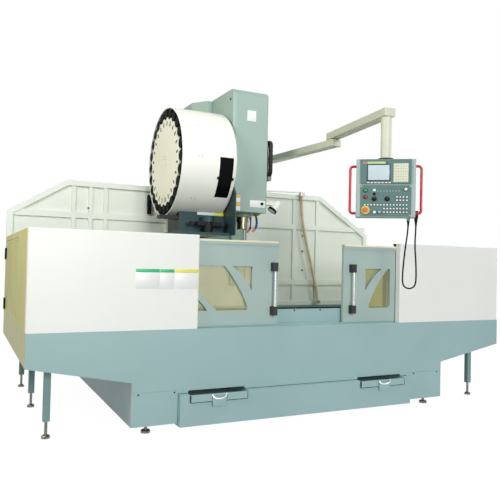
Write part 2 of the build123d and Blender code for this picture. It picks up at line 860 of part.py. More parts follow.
# Change arm: a hub with a two-ended arm, each end an open claw for a tool.
with BuildPart() as change_arm:
    with BuildSketch(Plane.XY.offset(change_arm_z)):
        with Locations((arm_hub_x, at(arm_hub_y))):
            SlotCenterToCenter(2 * change_arm_reach, change_arm_width)
            Circle(arm_hub_radius)
            with Locations((-change_arm_reach, 0), (change_arm_reach, 0)):
                Circle(claw_radius)
            with Locations((-change_arm_reach, 0), (change_arm_reach, 0)):
                Circle(claw_mouth, mode=Mode.SUBTRACT)
            with Locations((-change_arm_reach, -claw_radius), (change_arm_reach, claw_radius)):
                Rectangle(1.6 * claw_mouth, 2 * claw_radius, mode=Mode.SUBTRACT)
    extrude(amount=change_arm_thickness)
    with BuildSketch(Plane.XY.offset(change_arm_z)):
        with Locations((arm_hub_x, at(arm_hub_y))):
            Circle(arm_hub_radius)
    extrude(amount=-(change_arm_z - cam_box_bottom))
change_arm.part.label = "change_arm"
export_step(change_arm.part, "parts/change_arm.step")

# Bed: the casting on the tray floor that carries the saddle on two box ways.
with BuildPart() as bed:
    with BuildSketch(Plane.XY.offset(base_top + tray_wall)):
        with Locations((0, at((bed_front + bed_back) / 2))):
            Rectangle(2 * bed_half_width, bed_back - bed_front)
    extrude(amount=bed_top - bed_way_height - base_top - tray_wall)
    with BuildSketch(Plane.XY.offset(bed_top - bed_way_height)):
        with Locations(*[(x, at((bed_front + bed_back) / 2)) for x in (-bed_way_x, bed_way_x)]):
            Rectangle(bed_way_width, bed_back - bed_front)
    extrude(amount=bed_way_height)
bed.part.label = "bed"
export_step(bed.part, "parts/bed.step")

# Chip slides: sloping sheets beside the bed that carry the chips to the tray.
slide_high = bed_top - bed_way_height
slide_low = slide_high - slide_drop
with BuildPart() as chip_slides:
    for side in (-1, 1):
        with BuildSketch(front_plane(bed_front)):
            with BuildLine():
                Polyline((side * bed_half_width, slide_high), (side * slide_out, slide_low),
                         (side * slide_out, slide_low - slide_sheet),
                         (side * bed_half_width, slide_high - slide_sheet), close=True)
            make_face()
        extrude(amount=-(bed_back - bed_front))
chip_slides.part.label = "chip_slides"
export_step(chip_slides.part, "parts/chip_slides.step")

# Saddle: rides on the bed and carries the table on two cross rails.
rail_low = table_top - table_thickness - slide_gap - saddle_rail_height
with BuildPart() as saddle:
    with BuildSketch(Plane.XY.offset(bed_top + slide_gap)):
        with Locations((0, at(table_y))):
            Rectangle(2 * saddle_half_width, saddle_depth)
    extrude(amount=rail_low - bed_top - slide_gap)
    with BuildSketch(Plane.XY.offset(rail_low)):
        with Locations((0, at(table_y - saddle_rail_y)), (0, at(table_y + saddle_rail_y))):
            Rectangle(2 * saddle_half_width, saddle_rail_width)
    extrude(amount=saddle_rail_height)
saddle.part.label = "saddle"
export_step(saddle.part, "parts/saddle.step")

# Table with its T-slots.
with BuildPart() as table:
    with BuildSketch(Plane.XY.offset(table_top - table_thickness)):
        with Locations((0, at(table_y))):
            Rectangle(table_length, table_depth)
    extrude(amount=table_thickness)
    with BuildSketch(Plane.YZ.offset(-table_length / 2)):
        with Locations(*[(at(table_y + i * slot_pitch), table_top) for i in (-2, -1, 0, 1, 2)]):
            Rectangle(slot_width, 2 * slot_depth)
        slot_foot_z = table_top - slot_depth + slot_foot_height / 2
        with Locations(*[(at(table_y + i * slot_pitch), slot_foot_z) for i in (-2, -1, 0, 1, 2)]):
            Rectangle(slot_foot_width, slot_foot_height)
    extrude(amount=table_length, mode=Mode.SUBTRACT)
    with BuildSketch(Plane.XY.offset(table_top)):
        with Locations((0, at(table_y))):
            Rectangle(table_length - gutter_width, table_depth - gutter_width)
            Rectangle(table_length - 3 * gutter_width, table_depth - 3 * gutter_width,
                      mode=Mode.SUBTRACT)
    extrude(amount=-gutter_depth, mode=Mode.SUBTRACT)
table.part.label = "table"
export_step(table.part, "parts/table.step")

# Sliding doors: a plate with three cut-outs parted by two slanting bands, a folded rim
# along the top, a clear pane behind the cut-outs and an upright pull bar.
door_front = panel_thickness + door_back_gap


def band_edge(edge, side, far_end):
    """Upper and inner edges of the large cut-out, from its foot up the inner band and out."""
    Line((edge + side * band_foot, window_low), (edge + side * band_foot, window_low + band_rise))
    ThreePointArc((edge + side * band_foot, window_low + band_rise),
                  (edge + side * 345, window_low + 170), (edge + side * 480, window_high))
    Line((edge + side * 480, window_high), (edge + side * far_end, window_high))


def left_cutout(edge, side):
    """Outline of the left door's large cut-out, between its two bands."""
    Line((edge + side * 540, window_low), (edge + side * band_foot, window_low))
    band_edge(edge, side, window_outer)
    Line((edge + side * window_outer, window_high), (edge + side * window_outer, window_high - 111))
    ThreePointArc((edge + side * window_outer, window_high - 111), (edge + side * 662, window_low + 118),
                  (edge + side * 540, window_low))


def right_cutout(edge, side):
    """Outline of the right door's large cut-out, which ends in an upright edge."""
    far = edge + side * right_window_outer
    turn = right_window_corner
    Line((far - side * turn, window_low), (edge + side * band_foot, window_low))
    band_edge(edge, side, right_window_outer)
    Line((far, window_high), (far, window_low + turn))
    ThreePointArc((far, window_low + turn),
                  (far - side * turn * (1 - cos(pi / 4)), window_low + turn * (1 - cos(pi / 4))),
                  (far - side * turn, window_low))


def inner_cutout(edge, side):
    """Outline of the small cut-out at the upper inner corner."""
    Line((edge + side * 413, window_high), (edge + side * window_inner, window_high))
    Line((edge + side * window_inner, window_high), (edge + side * window_inner, window_low + 157))
    ThreePointArc((edge + side * window_inner, window_low + 157), (edge + side * 302, window_low + 247),
                  (edge + side * 413, window_high))


def outer_cutout(edge, side):
    """Outline of the small cut-out at the lower outer corner of the left door."""
    Line((edge + side * 620, window_low), (edge + side * window_outer, window_low))
    Line((edge + side * window_outer, window_low), (edge + side * window_outer, window_low + 182))
    ThreePointArc((edge + side * window_outer, window_low + 182), (edge + side * 706, window_low + 98),
                  (edge + side * 620, window_low))


left_outlines = (left_cutout, inner_cutout, outer_cutout)
right_outlines = (right_cutout, inner_cutout)
for side, edge, prefix, outlines, glass_end, handle_inset in (
        (-1, left_door_edge, "left", left_outlines, window_outer, left_handle_inset),
        (1, right_door_edge, "right", right_outlines, right_window_outer, right_handle_inset)):
    middle = edge + side * door_length / 2
    with BuildPart() as door:
        with BuildSketch(front_plane(door_front)):
            with Locations((middle, (door_low + door_high) / 2)):
                Rectangle(door_length, door_high - door_low)
            for outline in outlines:
                with BuildLine():
                    outline(edge, side)
                make_face(mode=Mode.SUBTRACT)
        extrude(amount=-door_thickness)
        with BuildSketch(front_plane(door_front)):
            with Locations((middle, door_high - door_rim / 2)):
                Rectangle(door_length, door_rim)
        extrude(amount=door_rim_proud)
    door.part.label = f"{prefix}_door"
    export_step(door.part, f"parts/{prefix}_door.step")
    with BuildPart() as pane:
        with BuildSketch(front_plane(door_front + door_thickness)):
            with Locations((edge + side * (window_inner + glass_end) / 2,
                            (window_low + window_high) / 2)):
                Rectangle(glass_end - window_inner + 2 * pane_margin,
                          window_high - window_low + 2 * pane_margin)
        extrude(amount=-pane_thickness)
    pane.part.label = f"{prefix}_door_pane"
    export_step(pane.part, f"parts/{prefix}_door_pane.step")
    handle_x = edge + side * handle_inset
    with BuildPart() as pull:
        with BuildSketch(Plane.XY.offset(handle_low)):
            with Locations((handle_x, at(door_front - handle_standoff))):
                Circle(handle_radius)
        extrude(amount=handle_high - handle_low)
        with BuildSketch(front_plane(door_front)):
            block_half = handle_block[1] / 2
            with Locations((handle_x, handle_low + block_half), (handle_x, handle_high - block_half)):
                RectangleRounded(handle_block[0], handle_block[1], handle_block_radius)
        extrude(amount=handle_standoff + handle_radius)
    pull.part.label = f"{prefix}_door_handle"
    export_step(pull.part, f"parts/{prefix}_door_handle.step")

# Door track: a ledge along the front of the tray with the rail on which both doors run, and
# the splash sill folded up behind them.
track_middle = door_front + door_thickness / 2
with BuildPart() as door_track:
    with BuildSketch(Plane.YZ.offset(-half_width + side_panel_thickness)):
        with BuildLine():
            sill_back = sill_front + sill_thickness
            Polyline((at(tray_wall), tray_top), (at(tray_wall), tray_top - track_ledge),
                     (at(sill_back), tray_top - track_ledge), (at(sill_back), sill_top),
                     (at(sill_front), sill_top), (at(sill_front), tray_top),
                     (at(track_middle + track_width / 2), tray_top),
                     (at(track_middle + track_width / 2), door_low - slide_gap),
                     (at(track_middle - track_width / 2), door_low - slide_gap),
                     (at(track_middle - track_width / 2), tray_top), close=True)
        make_face()
    extrude(amount=2 * (half_width - side_panel_thickness))
door_track.part.label = "door_track"
export_step(door_track.part, "parts/door_track.step")

# Guide rollers: one on a bracket behind each front panel, over the top edge of the door.
with BuildPart() as door_rollers:
    for side in (-1, 1):
        with BuildSketch(Plane.XY.offset(door_high + slide_gap)):
            with Locations((side * roller_x, at(track_middle))):
                Circle(roller_radius)
        extrude(amount=roller_height)
        with BuildSketch(Plane.XY.offset(door_high + slide_gap + roller_height)):
            with Locations((side * (roller_x + 20), at((panel_thickness + track_middle + roller_radius) / 2))):
                Rectangle(2 * roller_radius + 40, track_middle + roller_radius - panel_thickness)
        extrude(amount=roller_bracket)
door_rollers.part.label = "door_rollers"
export_step(door_rollers.part, "parts/door_rollers.step")

# Work lamp: a short round lamp on a bracket at the right of the head.
lamp_centre = (head_right + lamp_stand_off, at(lamp_y), lamp_z)
lamp_way = (-sin(radians(lamp_tilt)), 0, -cos(radians(lamp_tilt)))
lamp_plane = Plane(origin=lamp_centre, x_dir=(0, 1, 0), z_dir=lamp_way)
with BuildPart() as work_lamp:
    with BuildSketch(lamp_plane.offset(-lamp_length / 2)):
        Circle(lamp_back_radius)
    with BuildSketch(lamp_plane.offset(lamp_length / 2)):
        Circle(lamp_radius)
    loft()
    with BuildSketch(Plane.YZ.offset(head_right)):
        with Locations((at(lamp_y), lamp_z + lamp_arm_rise)):
            RectangleRounded(lamp_arm, lamp_arm, lamp_arm / 8)
    extrude(amount=lamp_stand_off + lamp_arm / 4)
work_lamp.part.label = "work_lamp"
export_step(work_lamp.part, "parts/work_lamp.step")

# Coolant pipes: jointed pipes on each side of the spindle, bent towards the tool.
with BuildPart() as coolant_pipes:
    for row in nozzle_rows:
        with BuildLine() as pipe_path:
            FilletPolyline((nozzle_x, at(spindle_y) + row, head_bottom),
                           (nozzle_x, at(spindle_y) + row, head_bottom - 120),
                           (nozzle_x - 34, at(spindle_y) + 0.7 * row, head_bottom - 196), radius=26)
        with BuildSketch(Plane((nozzle_x, at(spindle_y) + row, head_bottom), z_dir=(0, 0, -1))):
            Circle(nozzle_radius)
        sweep(path=pipe_path.wires()[0])
coolant_pipes.part.label = "coolant_pipes"
export_step(coolant_pipes.part, "parts/coolant_pipes.step")

# Cable loop: the flat chain beside the head, on a bracket from the column.
with BuildPart() as cable_chain:
    with BuildSketch(Plane.YZ.offset(chain_x)):
        with Locations((at(chain_loop_y), chain_loop_z)):
            SlotOverall(chain_loop_height, chain_loop_width, rotation=90)
            SlotOverall(chain_loop_height - 2 * chain_band, chain_loop_width - 2 * chain_band,
                        rotation=90, mode=Mode.SUBTRACT)
    extrude(amount=chain_width)
    chain_low = chain_loop_z - chain_loop_height / 2
    with BuildSketch(Plane.YZ.offset(chain_x)):
        with BuildLine():
            chain_start = at(chain_loop_y - chain_loop_width / 3)
            Polyline((chain_start, chain_low + chain_lap), (chain_start, chain_low - chain_bracket_height),
                     (at(column_front), chain_low - chain_bracket_height),
                     (at(column_front), chain_low + chain_bracket_height),
                     (at(column_front - chain_gusset), chain_low + chain_lap), close=True)
        make_face()
    extrude(amount=chain_width)
cable_chain.part.label = "cable_chain"
export_step(cable_chain.part, "parts/cable_chain.step")

# Hose clamps: a bent rod from the column with the clamp that the conduit hangs from, and the
# fitting low on the rear guard where it goes in.
clamp_x, clamp_y = hose_arm_end[0], at(hose_arm_end[1])
hose_top = hose_arm_z - hose_arm_radius - hose_clamp[2]
with BuildPart() as hose_clamps:
    with BuildLine() as arm_route:
        arm_root = at(column_front + hose_arm_lap)
        FilletPolyline((column_width / 2, arm_root, hose_arm_z),
                       (column_width / 2 + hose_arm_straight, arm_root, hose_arm_z),
                       (clamp_x, clamp_y, hose_arm_z), radius=hose_arm_bend)
    with BuildSketch(Plane((column_width / 2, arm_root, hose_arm_z), z_dir=(1, 0, 0))):
        Circle(hose_arm_radius)
    sweep(path=arm_route.wires()[0])
    with BuildSketch(Plane.XY.offset(hose_top)):
        with Locations((clamp_x, clamp_y)):
            RectangleRounded(hose_clamp[0], hose_clamp[1], 6)
    extrude(amount=hose_clamp[2] + hose_arm_radius)
    with BuildSketch(Plane.XY.offset(hose_fitting_low)):
        guard_face = at(enclosure_depth - guard_thickness)
        with Locations((clamp_x + hose_drift, (clamp_y - hose_fitting[1] / 2 + guard_face) / 2)):
            Rectangle(hose_fitting[0], guard_face - clamp_y + hose_fitting[1] / 2)
    extrude(amount=hose_fitting[2])
hose_clamps.part.label = "hose_clamps"
export_step(hose_clamps.part, "parts/hose_clamps.step")

# Route of the conduit, across and up, from the arm's clamp to the fitting on the rear guard.
hose_points = [(clamp_x, hose_top), (clamp_x, 1930), (clamp_x + 28, 1750), (clamp_x + 72, 1570),
               (clamp_x + 122, 1385), (clamp_x + 170, 1210), (clamp_x + 212, 1050),
               (clamp_x + hose_drift, 930), (clamp_x + hose_drift, hose_fitting_low + hose_fitting[2])]

# Pendant arms: a bracket on the column, two flat tubes and a round post.
pivot = (arm_pivot[0], at(arm_pivot[1]))
elbow_place = (elbow[0], at(elbow[1]))
post = (post_place[0], at(post_place[1]))
rear_low = rear_arm_z - arm_height / 2
rear_high = rear_arm_z + arm_height / 2
front_low = front_arm_z - arm_height / 2
front_high = front_arm_z + arm_height / 2


def arm_plane(place, start, end, height):
    """Level plane at one pivot with its x along the arm."""
    run_x, run_y = end[0] - start[0], end[1] - start[1]
    return Plane(origin=(place[0], place[1], height), x_dir=(run_x, run_y, 0), z_dir=(0, 0, 1))


def arm_length(start, end):
    """Distance between two upright pivots."""
    return sqrt((end[0] - start[0]) ** 2 + (end[1] - start[1]) ** 2)


with BuildPart() as arm_bracket:
    with BuildSketch(Plane.XY.offset(rear_low - slide_gap - bracket_height)):
        with Locations(((column_width / 2 + pivot[0]) / 2, pivot[1])):
            Rectangle(pivot[0] - column_width / 2, 2 * pivot_radius)
        with Locations(pivot):
            Circle(pivot_radius)
    extrude(amount=bracket_height)
    with BuildSketch(Plane.YZ.offset(column_width / 2)):
        with Locations((pivot[1], rear_low - slide_gap - bracket_height / 2)):
            Rectangle(4 * pivot_radius, 2 * bracket_height)
    extrude(amount=bracket_plate)
arm_bracket.part.label = "arm_bracket"
export_step(arm_bracket.part, "parts/arm_bracket.step")

with BuildPart() as rear_arm:
    with BuildSketch(arm_plane(pivot, pivot, elbow_place, rear_low)):
        with Locations((arm_length(pivot, elbow_place) / 2, 0)):
            RectangleRounded(arm_length(pivot, elbow_place) + 2 * arm_overhang, arm_width, arm_corner)
    extrude(amount=arm_height)
    with BuildSketch(Plane.XY.offset(rear_high)):
        with Locations(elbow_place):
            Circle(pivot_radius)
    extrude(amount=front_low - slide_gap - rear_high)
rear_arm.part.label = "rear_arm"
export_step(rear_arm.part, "parts/rear_arm.step")

with BuildPart() as front_arm:
    with BuildSketch(arm_plane(elbow_place, elbow_place, post, front_low)):
        with Locations((arm_length(elbow_place, post) / 2, 0)):
            RectangleRounded(arm_length(elbow_place, post) + 2 * arm_overhang, arm_width, arm_corner)
    extrude(amount=arm_height)
    with BuildSketch(Plane.XY.offset(front_low)):
        with Locations(post):
            Circle(post_radius)
    extrude(amount=-(front_low - pendant_high - flange_height - slide_gap))
front_arm.part.label = "front_arm"
export_step(front_arm.part, "parts/front_arm.step")

# Pendant: the upright control box, turned to face the operator.
across = (cos(radians(pendant_turn)), -sin(radians(pendant_turn)), 0)
facing = (-sin(radians(pendant_turn)), -cos(radians(pendant_turn)), 0)


def pendant_level(height):
    """Level plane at the pendant with x across its front and y towards its back."""
    return Plane(origin=(post[0], post[1], height), x_dir=across, z_dir=(0, 0, 1))


def pendant_face(forward):
    """Upright plane in front of the post by this distance, with its y at floor height."""
    return Plane(origin=(post[0] + facing[0] * forward, post[1] + facing[1] * forward, 0),
                 x_dir=across, z_dir=facing)


pendant_front = pendant_depth / 2
gland_across = pendant_width / 2 - gland_inset
with BuildPart() as pendant_housing:
    with BuildSketch(pendant_level(pendant_low)):
        RectangleRounded(pendant_width, pendant_depth, pendant_corner)
    extrude(amount=pendant_high - pendant_low)
    with BuildSketch(pendant_level(pendant_high)):
        Circle(post_radius + 20)
    extrude(amount=flange_height)
    with BuildSketch(pendant_level(pendant_low)):
        with Locations((gland_across, unit_back)):
            Circle(gland_radius)
    extrude(amount=-gland_length)
pendant_housing.part.label = "pendant_housing"
export_step(pendant_housing.part, "parts/pendant_housing.step")

display_middle = (display_low + pendant_high) / 2
with BuildPart() as display_unit:
    with BuildSketch(pendant_face(pendant_front)):
        with Locations((0, display_middle)):
            Rectangle(display_width, pendant_high - display_low - 8)
    extrude(amount=display_proud)
    with BuildSketch(pendant_face(pendant_front + display_proud)):
        with Locations((screen_across, display_middle + screen_rise)):
            Rectangle(screen_width, screen_height)
    extrude(amount=-screen_recess, mode=Mode.SUBTRACT)
display_unit.part.label = "display_unit"
export_step(display_unit.part, "parts/display_unit.step")

with BuildPart() as operator_panel:
    with BuildSketch(pendant_face(pendant_front)):
        with Locations((0, (operator_low + operator_high) / 2)):
            Rectangle(display_width, operator_high - operator_low)
    extrude(amount=operator_proud)
    with BuildSketch(pendant_face(pendant_front + operator_proud)):
        with Locations(*knob_places):
            Circle(knob_radius)
        with Locations(*button_places):
            Circle(button_radius)
    extrude(amount=knob_proud)
operator_panel.part.label = "operator_panel"
export_step(operator_panel.part, "parts/operator_panel.step")

with BuildPart() as emergency_stop:
    with BuildSketch(pendant_face(pendant_front + operator_proud)):
        with Locations(stop_place):
            Circle(stop_collar_radius)
    extrude(amount=stop_collar_height)
    with BuildSketch(pendant_face(pendant_front + operator_proud + stop_collar_height)):
        with Locations(stop_place):
            Circle(stop_radius / 2)
    extrude(amount=stop_height)
    with BuildSketch(pendant_face(pendant_front + operator_proud + stop_collar_height + stop_height)):
        with Locations(stop_place):
            Circle(stop_radius)
    extrude(amount=stop_height)
    chamfer(emergency_stop.faces().sort_by(Axis(pendant_face(0).origin, facing))[-1].edges(), 3)
emergency_stop.part.label = "emergency_stop"
export_step(emergency_stop.part, "parts/emergency_stop.step")

# Side grips of the pendant: bent tubes.
with BuildPart() as pendant_handles:
    for side in (-1, 1):
        with BuildLine(pendant_face(0)) as grip_path:
            FilletPolyline((side * pendant_width / 2, grip_low),
                           (side * (pendant_width / 2 + grip_reach), grip_low),
                           (side * (pendant_width / 2 + grip_reach), grip_high),
                           (side * pendant_width / 2, grip_high), radius=grip_corner)
        with BuildSketch(Plane(grip_path.edges()[0] @ 0, z_dir=grip_path.edges()[0] % 0)):
            Circle(grip_radius)
        sweep(path=grip_path.wires()[0])
pendant_handles.part.label = "pendant_handles"
export_step(pendant_handles.part, "parts/pendant_handles.step")

# Hand wheel unit on the right of the pendant, and the cord between it and the box.
unit_across = pendant_width / 2 + unit_width / 2
with BuildPart() as handwheel_unit:
    with BuildSketch(pendant_level(pendant_low)):
        with Locations((unit_across, unit_back)):
            RectangleRounded(unit_width, unit_depth, 8)
    extrude(amount=unit_height)
    with BuildSketch(pendant_level(pendant_low)):
        with Locations((unit_across, unit_back)):
            Circle(gland_radius)
    extrude(amount=-gland_length)
handwheel_unit.part.label = "handwheel_unit"
export_step(handwheel_unit.part, "parts/handwheel_unit.step")

cord_start = pendant_low - gland_length
cord_points = [
    (gland_across, cord_start), (gland_across, 1580), (gland_across - 17, 1455),
    (gland_across - 31, 1320), (gland_across - 40, 1200), (gland_across - 38, 1119),
    (gland_across - 7, 1088), (gland_across + 37, 1088), (gland_across + 68, 1119),
    (gland_across + 72, 1200), (gland_across + 67, 1320), (gland_across + 56, 1455),
    (unit_across, 1580), (unit_across, cord_start)]


def bend_radii(points):
    """Radius at each inner point: 0.45 of the shorter run over the tangent of half the turn."""
    radii = []
    for before, here, after in zip(points, points[1:], points[2:]):
        run_in = Vector(here[0] - before[0], here[1] - before[1])
        run_out = Vector(after[0] - here[0], after[1] - here[1])
        half_turn = radians(run_in.get_angle(run_out)) / 2
        radii.append(0.45 * min(run_in.length, run_out.length) * cos(half_turn) / sin(half_turn))
    return radii


cord_radii = bend_radii(cord_points)
with BuildPart() as pendant_cord:
    with BuildLine(pendant_face(-unit_back)) as cord_route:
        FilletPolyline(*cord_points, radius=cord_radii)
    with BuildSketch(Plane(cord_route.edges()[0] @ 0, z_dir=cord_route.edges()[0] % 0)):
        Circle(cord_radius)
    sweep(path=cord_route.wires()[0])
pendant_cord.part.label = "pendant_cord"
export_step(pendant_cord.part, "parts/pendant_cord.step")
cord_length = cord_route.wires()[0].length
hose_radii = bend_radii(hose_points)
with BuildPart() as conduit_hose:
    with BuildLine(Plane(origin=(0, clamp_y, 0), x_dir=(1, 0, 0), z_dir=(0, -1, 0))) as hose_route:
        FilletPolyline(*hose_points, radius=hose_radii)
    with BuildSketch(Plane(hose_route.edges()[0] @ 0, z_dir=hose_route.edges()[0] % 0)):
        Circle(hose_radius)
    sweep(path=hose_route.wires()[0])
conduit_hose.part.label = "conduit_hose"
export_step(conduit_hose.part, "parts/conduit_hose.step")
hose_length = hose_route.wires()[0].length
print("hose radii", [round(radius) for radius in hose_radii], "length", round(hose_length))
print("hose volume", round(conduit_hose.part.volume), round(pi * hose_radius ** 2 * hose_length))
print("cord radii", [round(radius) for radius in cord_radii], "length", round(cord_length))
print("cord volume", round(pendant_cord.part.volume), round(pi * cord_radius ** 2 * cord_length))
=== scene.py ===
from math import cos, pi, radians, sin

import bpy
from mathutils import Matrix, Vector


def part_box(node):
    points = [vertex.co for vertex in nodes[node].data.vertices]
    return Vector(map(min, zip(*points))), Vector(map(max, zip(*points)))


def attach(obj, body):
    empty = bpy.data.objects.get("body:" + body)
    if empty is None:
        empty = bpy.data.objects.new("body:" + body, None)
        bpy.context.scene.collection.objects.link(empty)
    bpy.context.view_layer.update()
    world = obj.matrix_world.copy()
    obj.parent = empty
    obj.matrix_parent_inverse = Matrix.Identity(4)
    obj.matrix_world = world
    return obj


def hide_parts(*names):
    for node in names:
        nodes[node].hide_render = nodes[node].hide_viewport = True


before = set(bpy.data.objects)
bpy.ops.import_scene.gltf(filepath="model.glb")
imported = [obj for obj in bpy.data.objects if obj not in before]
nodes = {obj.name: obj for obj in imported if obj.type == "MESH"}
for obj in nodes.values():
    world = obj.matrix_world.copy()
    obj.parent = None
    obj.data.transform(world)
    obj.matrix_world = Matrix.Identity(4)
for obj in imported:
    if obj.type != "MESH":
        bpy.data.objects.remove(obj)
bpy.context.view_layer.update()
skirt_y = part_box("splash_tray")[0].y

# Viewpoint: the camera stands in front of the left half of the machine at chest height,
# turned a quarter to the right and tipped a little, as the machine was photographed.
eye = Vector((-2.608, skirt_y - 4.2135, 1.2696))
yaw, pitch, roll = radians(-26.07), radians(1.28), radians(1.287)
sight = Vector((-sin(yaw) * cos(pitch), cos(yaw) * cos(pitch), sin(pitch)))
level = Vector((cos(yaw), sin(yaw), 0))
upright = level.cross(sight)
to_right = level * cos(roll) + upright * sin(roll)
to_top = upright * cos(roll) - level * sin(roll)
lens = bpy.data.cameras.new("viewpoint")
lens.lens = 42.65
lens.sensor_width = 36
viewpoint = bpy.data.objects.new("viewpoint", lens)
bpy.context.collection.objects.link(viewpoint)
turn = Matrix((to_right, to_top, -sight)).transposed().to_4x4()
viewpoint.matrix_world = Matrix.Translation(eye) @ turn
bpy.context.scene.camera = viewpoint

# Pendant cord: a black rubber cord, 13 mm thick, that hangs in a long loop between the gland
# under the pendant box and the gland under the handwheel unit.
pendant_post = Vector((0.583, skirt_y - 0.25, 0))
pendant_angle = radians(36)
across = Vector((cos(pendant_angle), -sin(pendant_angle), 0))
back = Vector((sin(pendant_angle), cos(pendant_angle), 0))
gland, unit, cord_depth, cord_top = 0.195, 0.258, 0.044, 1.655
cord_length, cord_thickness = 1.199, 0.013
cord_route = [
    (gland, cord_top), (gland, 1.580), (gland - 0.017, 1.455), (gland - 0.031, 1.320),
    (gland - 0.040, 1.200), (gland - 0.038, 1.119), (gland - 0.007, 1.088), (gland + 0.037, 1.088),
    (gland + 0.068, 1.119), (gland + 0.072, 1.200), (gland + 0.067, 1.320),
    (gland + 0.056, 1.455), (unit, 1.580), (unit, cord_top)]


def shade(red, green, blue):
    """A colour given as 0 to 255 on screen, as Blender's linear values."""
    return tuple((value / 255) ** 2.2 for value in (red, green, blue)) + (1,)


def toned(colour, factor, lift=0):
    """A colour made lighter or darker."""
    return tuple(min(1, factor * value + lift) for value in colour[:3]) + (1,)


def hung_line(name, points, radius):
    """A round cord on one smooth line with these points as its control points."""
    line = bpy.data.curves.new(name, "CURVE")
    line.dimensions = "3D"
    line.bevel_depth = radius
    line.bevel_resolution = 5
    line.resolution_u = 8
    line.use_fill_caps = True
    spline = line.splines.new("NURBS")
    spline.points.add(len(points) - 1)
    for control, point in zip(spline.points, points):
        control.co = (*point, 1)
    spline.order_u = 3
    spline.use_endpoint_u = True
    cord = bpy.data.objects.new(name, line)
    bpy.context.collection.objects.link(cord)
    return cord


def new_finish(name, gloss=0.5, metal=0):
    """A new material, with its node tree and the output that gives the object's place."""
    material = bpy.data.materials.new(name)
    material.use_nodes = True
    tree = material.node_tree
    shader = tree.nodes["Principled BSDF"]
    shader.inputs["Specular IOR Level"].default_value = gloss
    shader.inputs["Metallic"].default_value = metal
    return material, tree, tree.nodes.new("ShaderNodeTexCoord").outputs["Object"]


def noise(tree, place, scale, detail=2):
    """The strength of a cloudy noise over a place."""
    clouds = tree.nodes.new("ShaderNodeTexNoise")
    clouds.inputs["Scale"].default_value = scale
    clouds.inputs["Detail"].default_value = detail
    tree.links.new(place, clouds.inputs["Vector"])
    return clouds.outputs["Fac"]


def tint(tree, amount, low, high, start=0, end=1):
    """Runs the base colour from one tint to another as an amount grows."""
    ramp = tree.nodes.new("ShaderNodeValToRGB")
    first, last = ramp.color_ramp.elements
    first.position, first.color = start, low
    last.position, last.color = end, high
    tree.links.new(amount, ramp.inputs["Fac"])
    tree.links.new(ramp.outputs["Color"], tree.nodes["Principled BSDF"].inputs["Base Color"])


def dull(tree, amount, least, most):
    """Runs the roughness between two values as an amount grows."""
    spread = tree.nodes.new("ShaderNodeMapRange")
    spread.inputs["To Min"].default_value = least
    spread.inputs["To Max"].default_value = most
    tree.links.new(amount, spread.inputs["Value"])
    tree.links.new(spread.outputs["Result"], tree.nodes["Principled BSDF"].inputs["Roughness"])


def ripple(tree, amount, strength, depth=0.001):
    """Raises the surface a little where an amount is high."""
    bump = tree.nodes.new("ShaderNodeBump")
    bump.inputs["Strength"].default_value = strength
    bump.inputs["Distance"].default_value = depth
    tree.links.new(amount, bump.inputs["Height"])
    tree.links.new(bump.outputs["Normal"], tree.nodes["Principled BSDF"].inputs["Normal"])


def rubber(name, colour, roughness, grain, gloss=0.35):
    """Matt rubber or soft plastic with a fine grain and faint scuffs."""
    material, tree, place = new_finish(name, gloss)
    scuffs = noise(tree, place, 14, 5)
    tint(tree, scuffs, toned(colour, 0.82), toned(colour, 1.12, 0.004), 0.35, 0.7)
    dull(tree, scuffs, roughness - 0.08, roughness + 0.1)
    ripple(tree, noise(tree, place, grain), 0.15)
    return material


cord_rubber = rubber("cord_rubber", (0.005, 0.005, 0.006, 1), roughness=0.6, grain=320, gloss=0.12)
cord_points = [pendant_post + across * a + back * cord_depth + Vector((0, 0, z))
               for a, z in cord_route]
pendant_cord = hung_line("pendant_cord_line", cord_points, cord_thickness / 2)
pendant_cord.data.materials.append(cord_rubber)
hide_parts("pendant_cord")
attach(pendant_cord, "pendant")

# Conduit: a beige plastic hose, 34 mm thick, that hangs from the clamp of the hose arm in
# front of the rear guard and goes into the fitting low on it.
hose_low, hose_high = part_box("conduit_hose")
hose_y = (hose_low.y + hose_high.y) / 2
hose_x, hose_length, hose_thickness = 1.170, 1.32, 0.034
conduit_route = [(0, 2.116), (0, 1.930), (0.028, 1.750), (0.072, 1.570), (0.122, 1.385),
                 (0.170, 1.210), (0.212, 1.050), (0.248, 0.930), (0.248, 0.826)]
conduit_plastic = rubber("conduit_plastic", shade(196, 186, 150), roughness=0.55, grain=180)
conduit_points = [Vector((hose_x + drift, hose_y, z)) for drift, z in conduit_route]
conduit = hung_line("conduit_line", conduit_points, hose_thickness / 2)
conduit.data.materials.append(conduit_plastic)
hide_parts("conduit_hose")
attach(conduit, "machine_frame")

# Floor and studio light: a pale floor that shows white, a large soft lamp far off at the
# front and a weaker one behind, small ones by the drum and the right guard, a warm one high
# at the left and an even white surround.
floor_grey, floor_glow, glow_share, ambient_level = (0.5, 0.5, 0.49, 1), 1.18, 0.82, 0.24


def maths(tree, operation, first, second=0):
    """One step of arithmetic on two outputs, or on an output and a number."""
    step = tree.nodes.new("ShaderNodeMath")
    step.operation = operation
    tree.links.new(first, step.inputs[0])
    if isinstance(second, bpy.types.NodeSocket):
        tree.links.new(second, step.inputs[1])
    else:
        step.inputs[1].default_value = second
    return step.outputs[0]


def either_ray(tree, *kinds):
    """One for the rays of these kinds, else nought."""
    path = tree.nodes.new("ShaderNodeLightPath")
    chosen = path.outputs[kinds[0]]
    for kind in kinds[1:]:
        chosen = maths(tree, "MAXIMUM", chosen, path.outputs[kind])
    return chosen


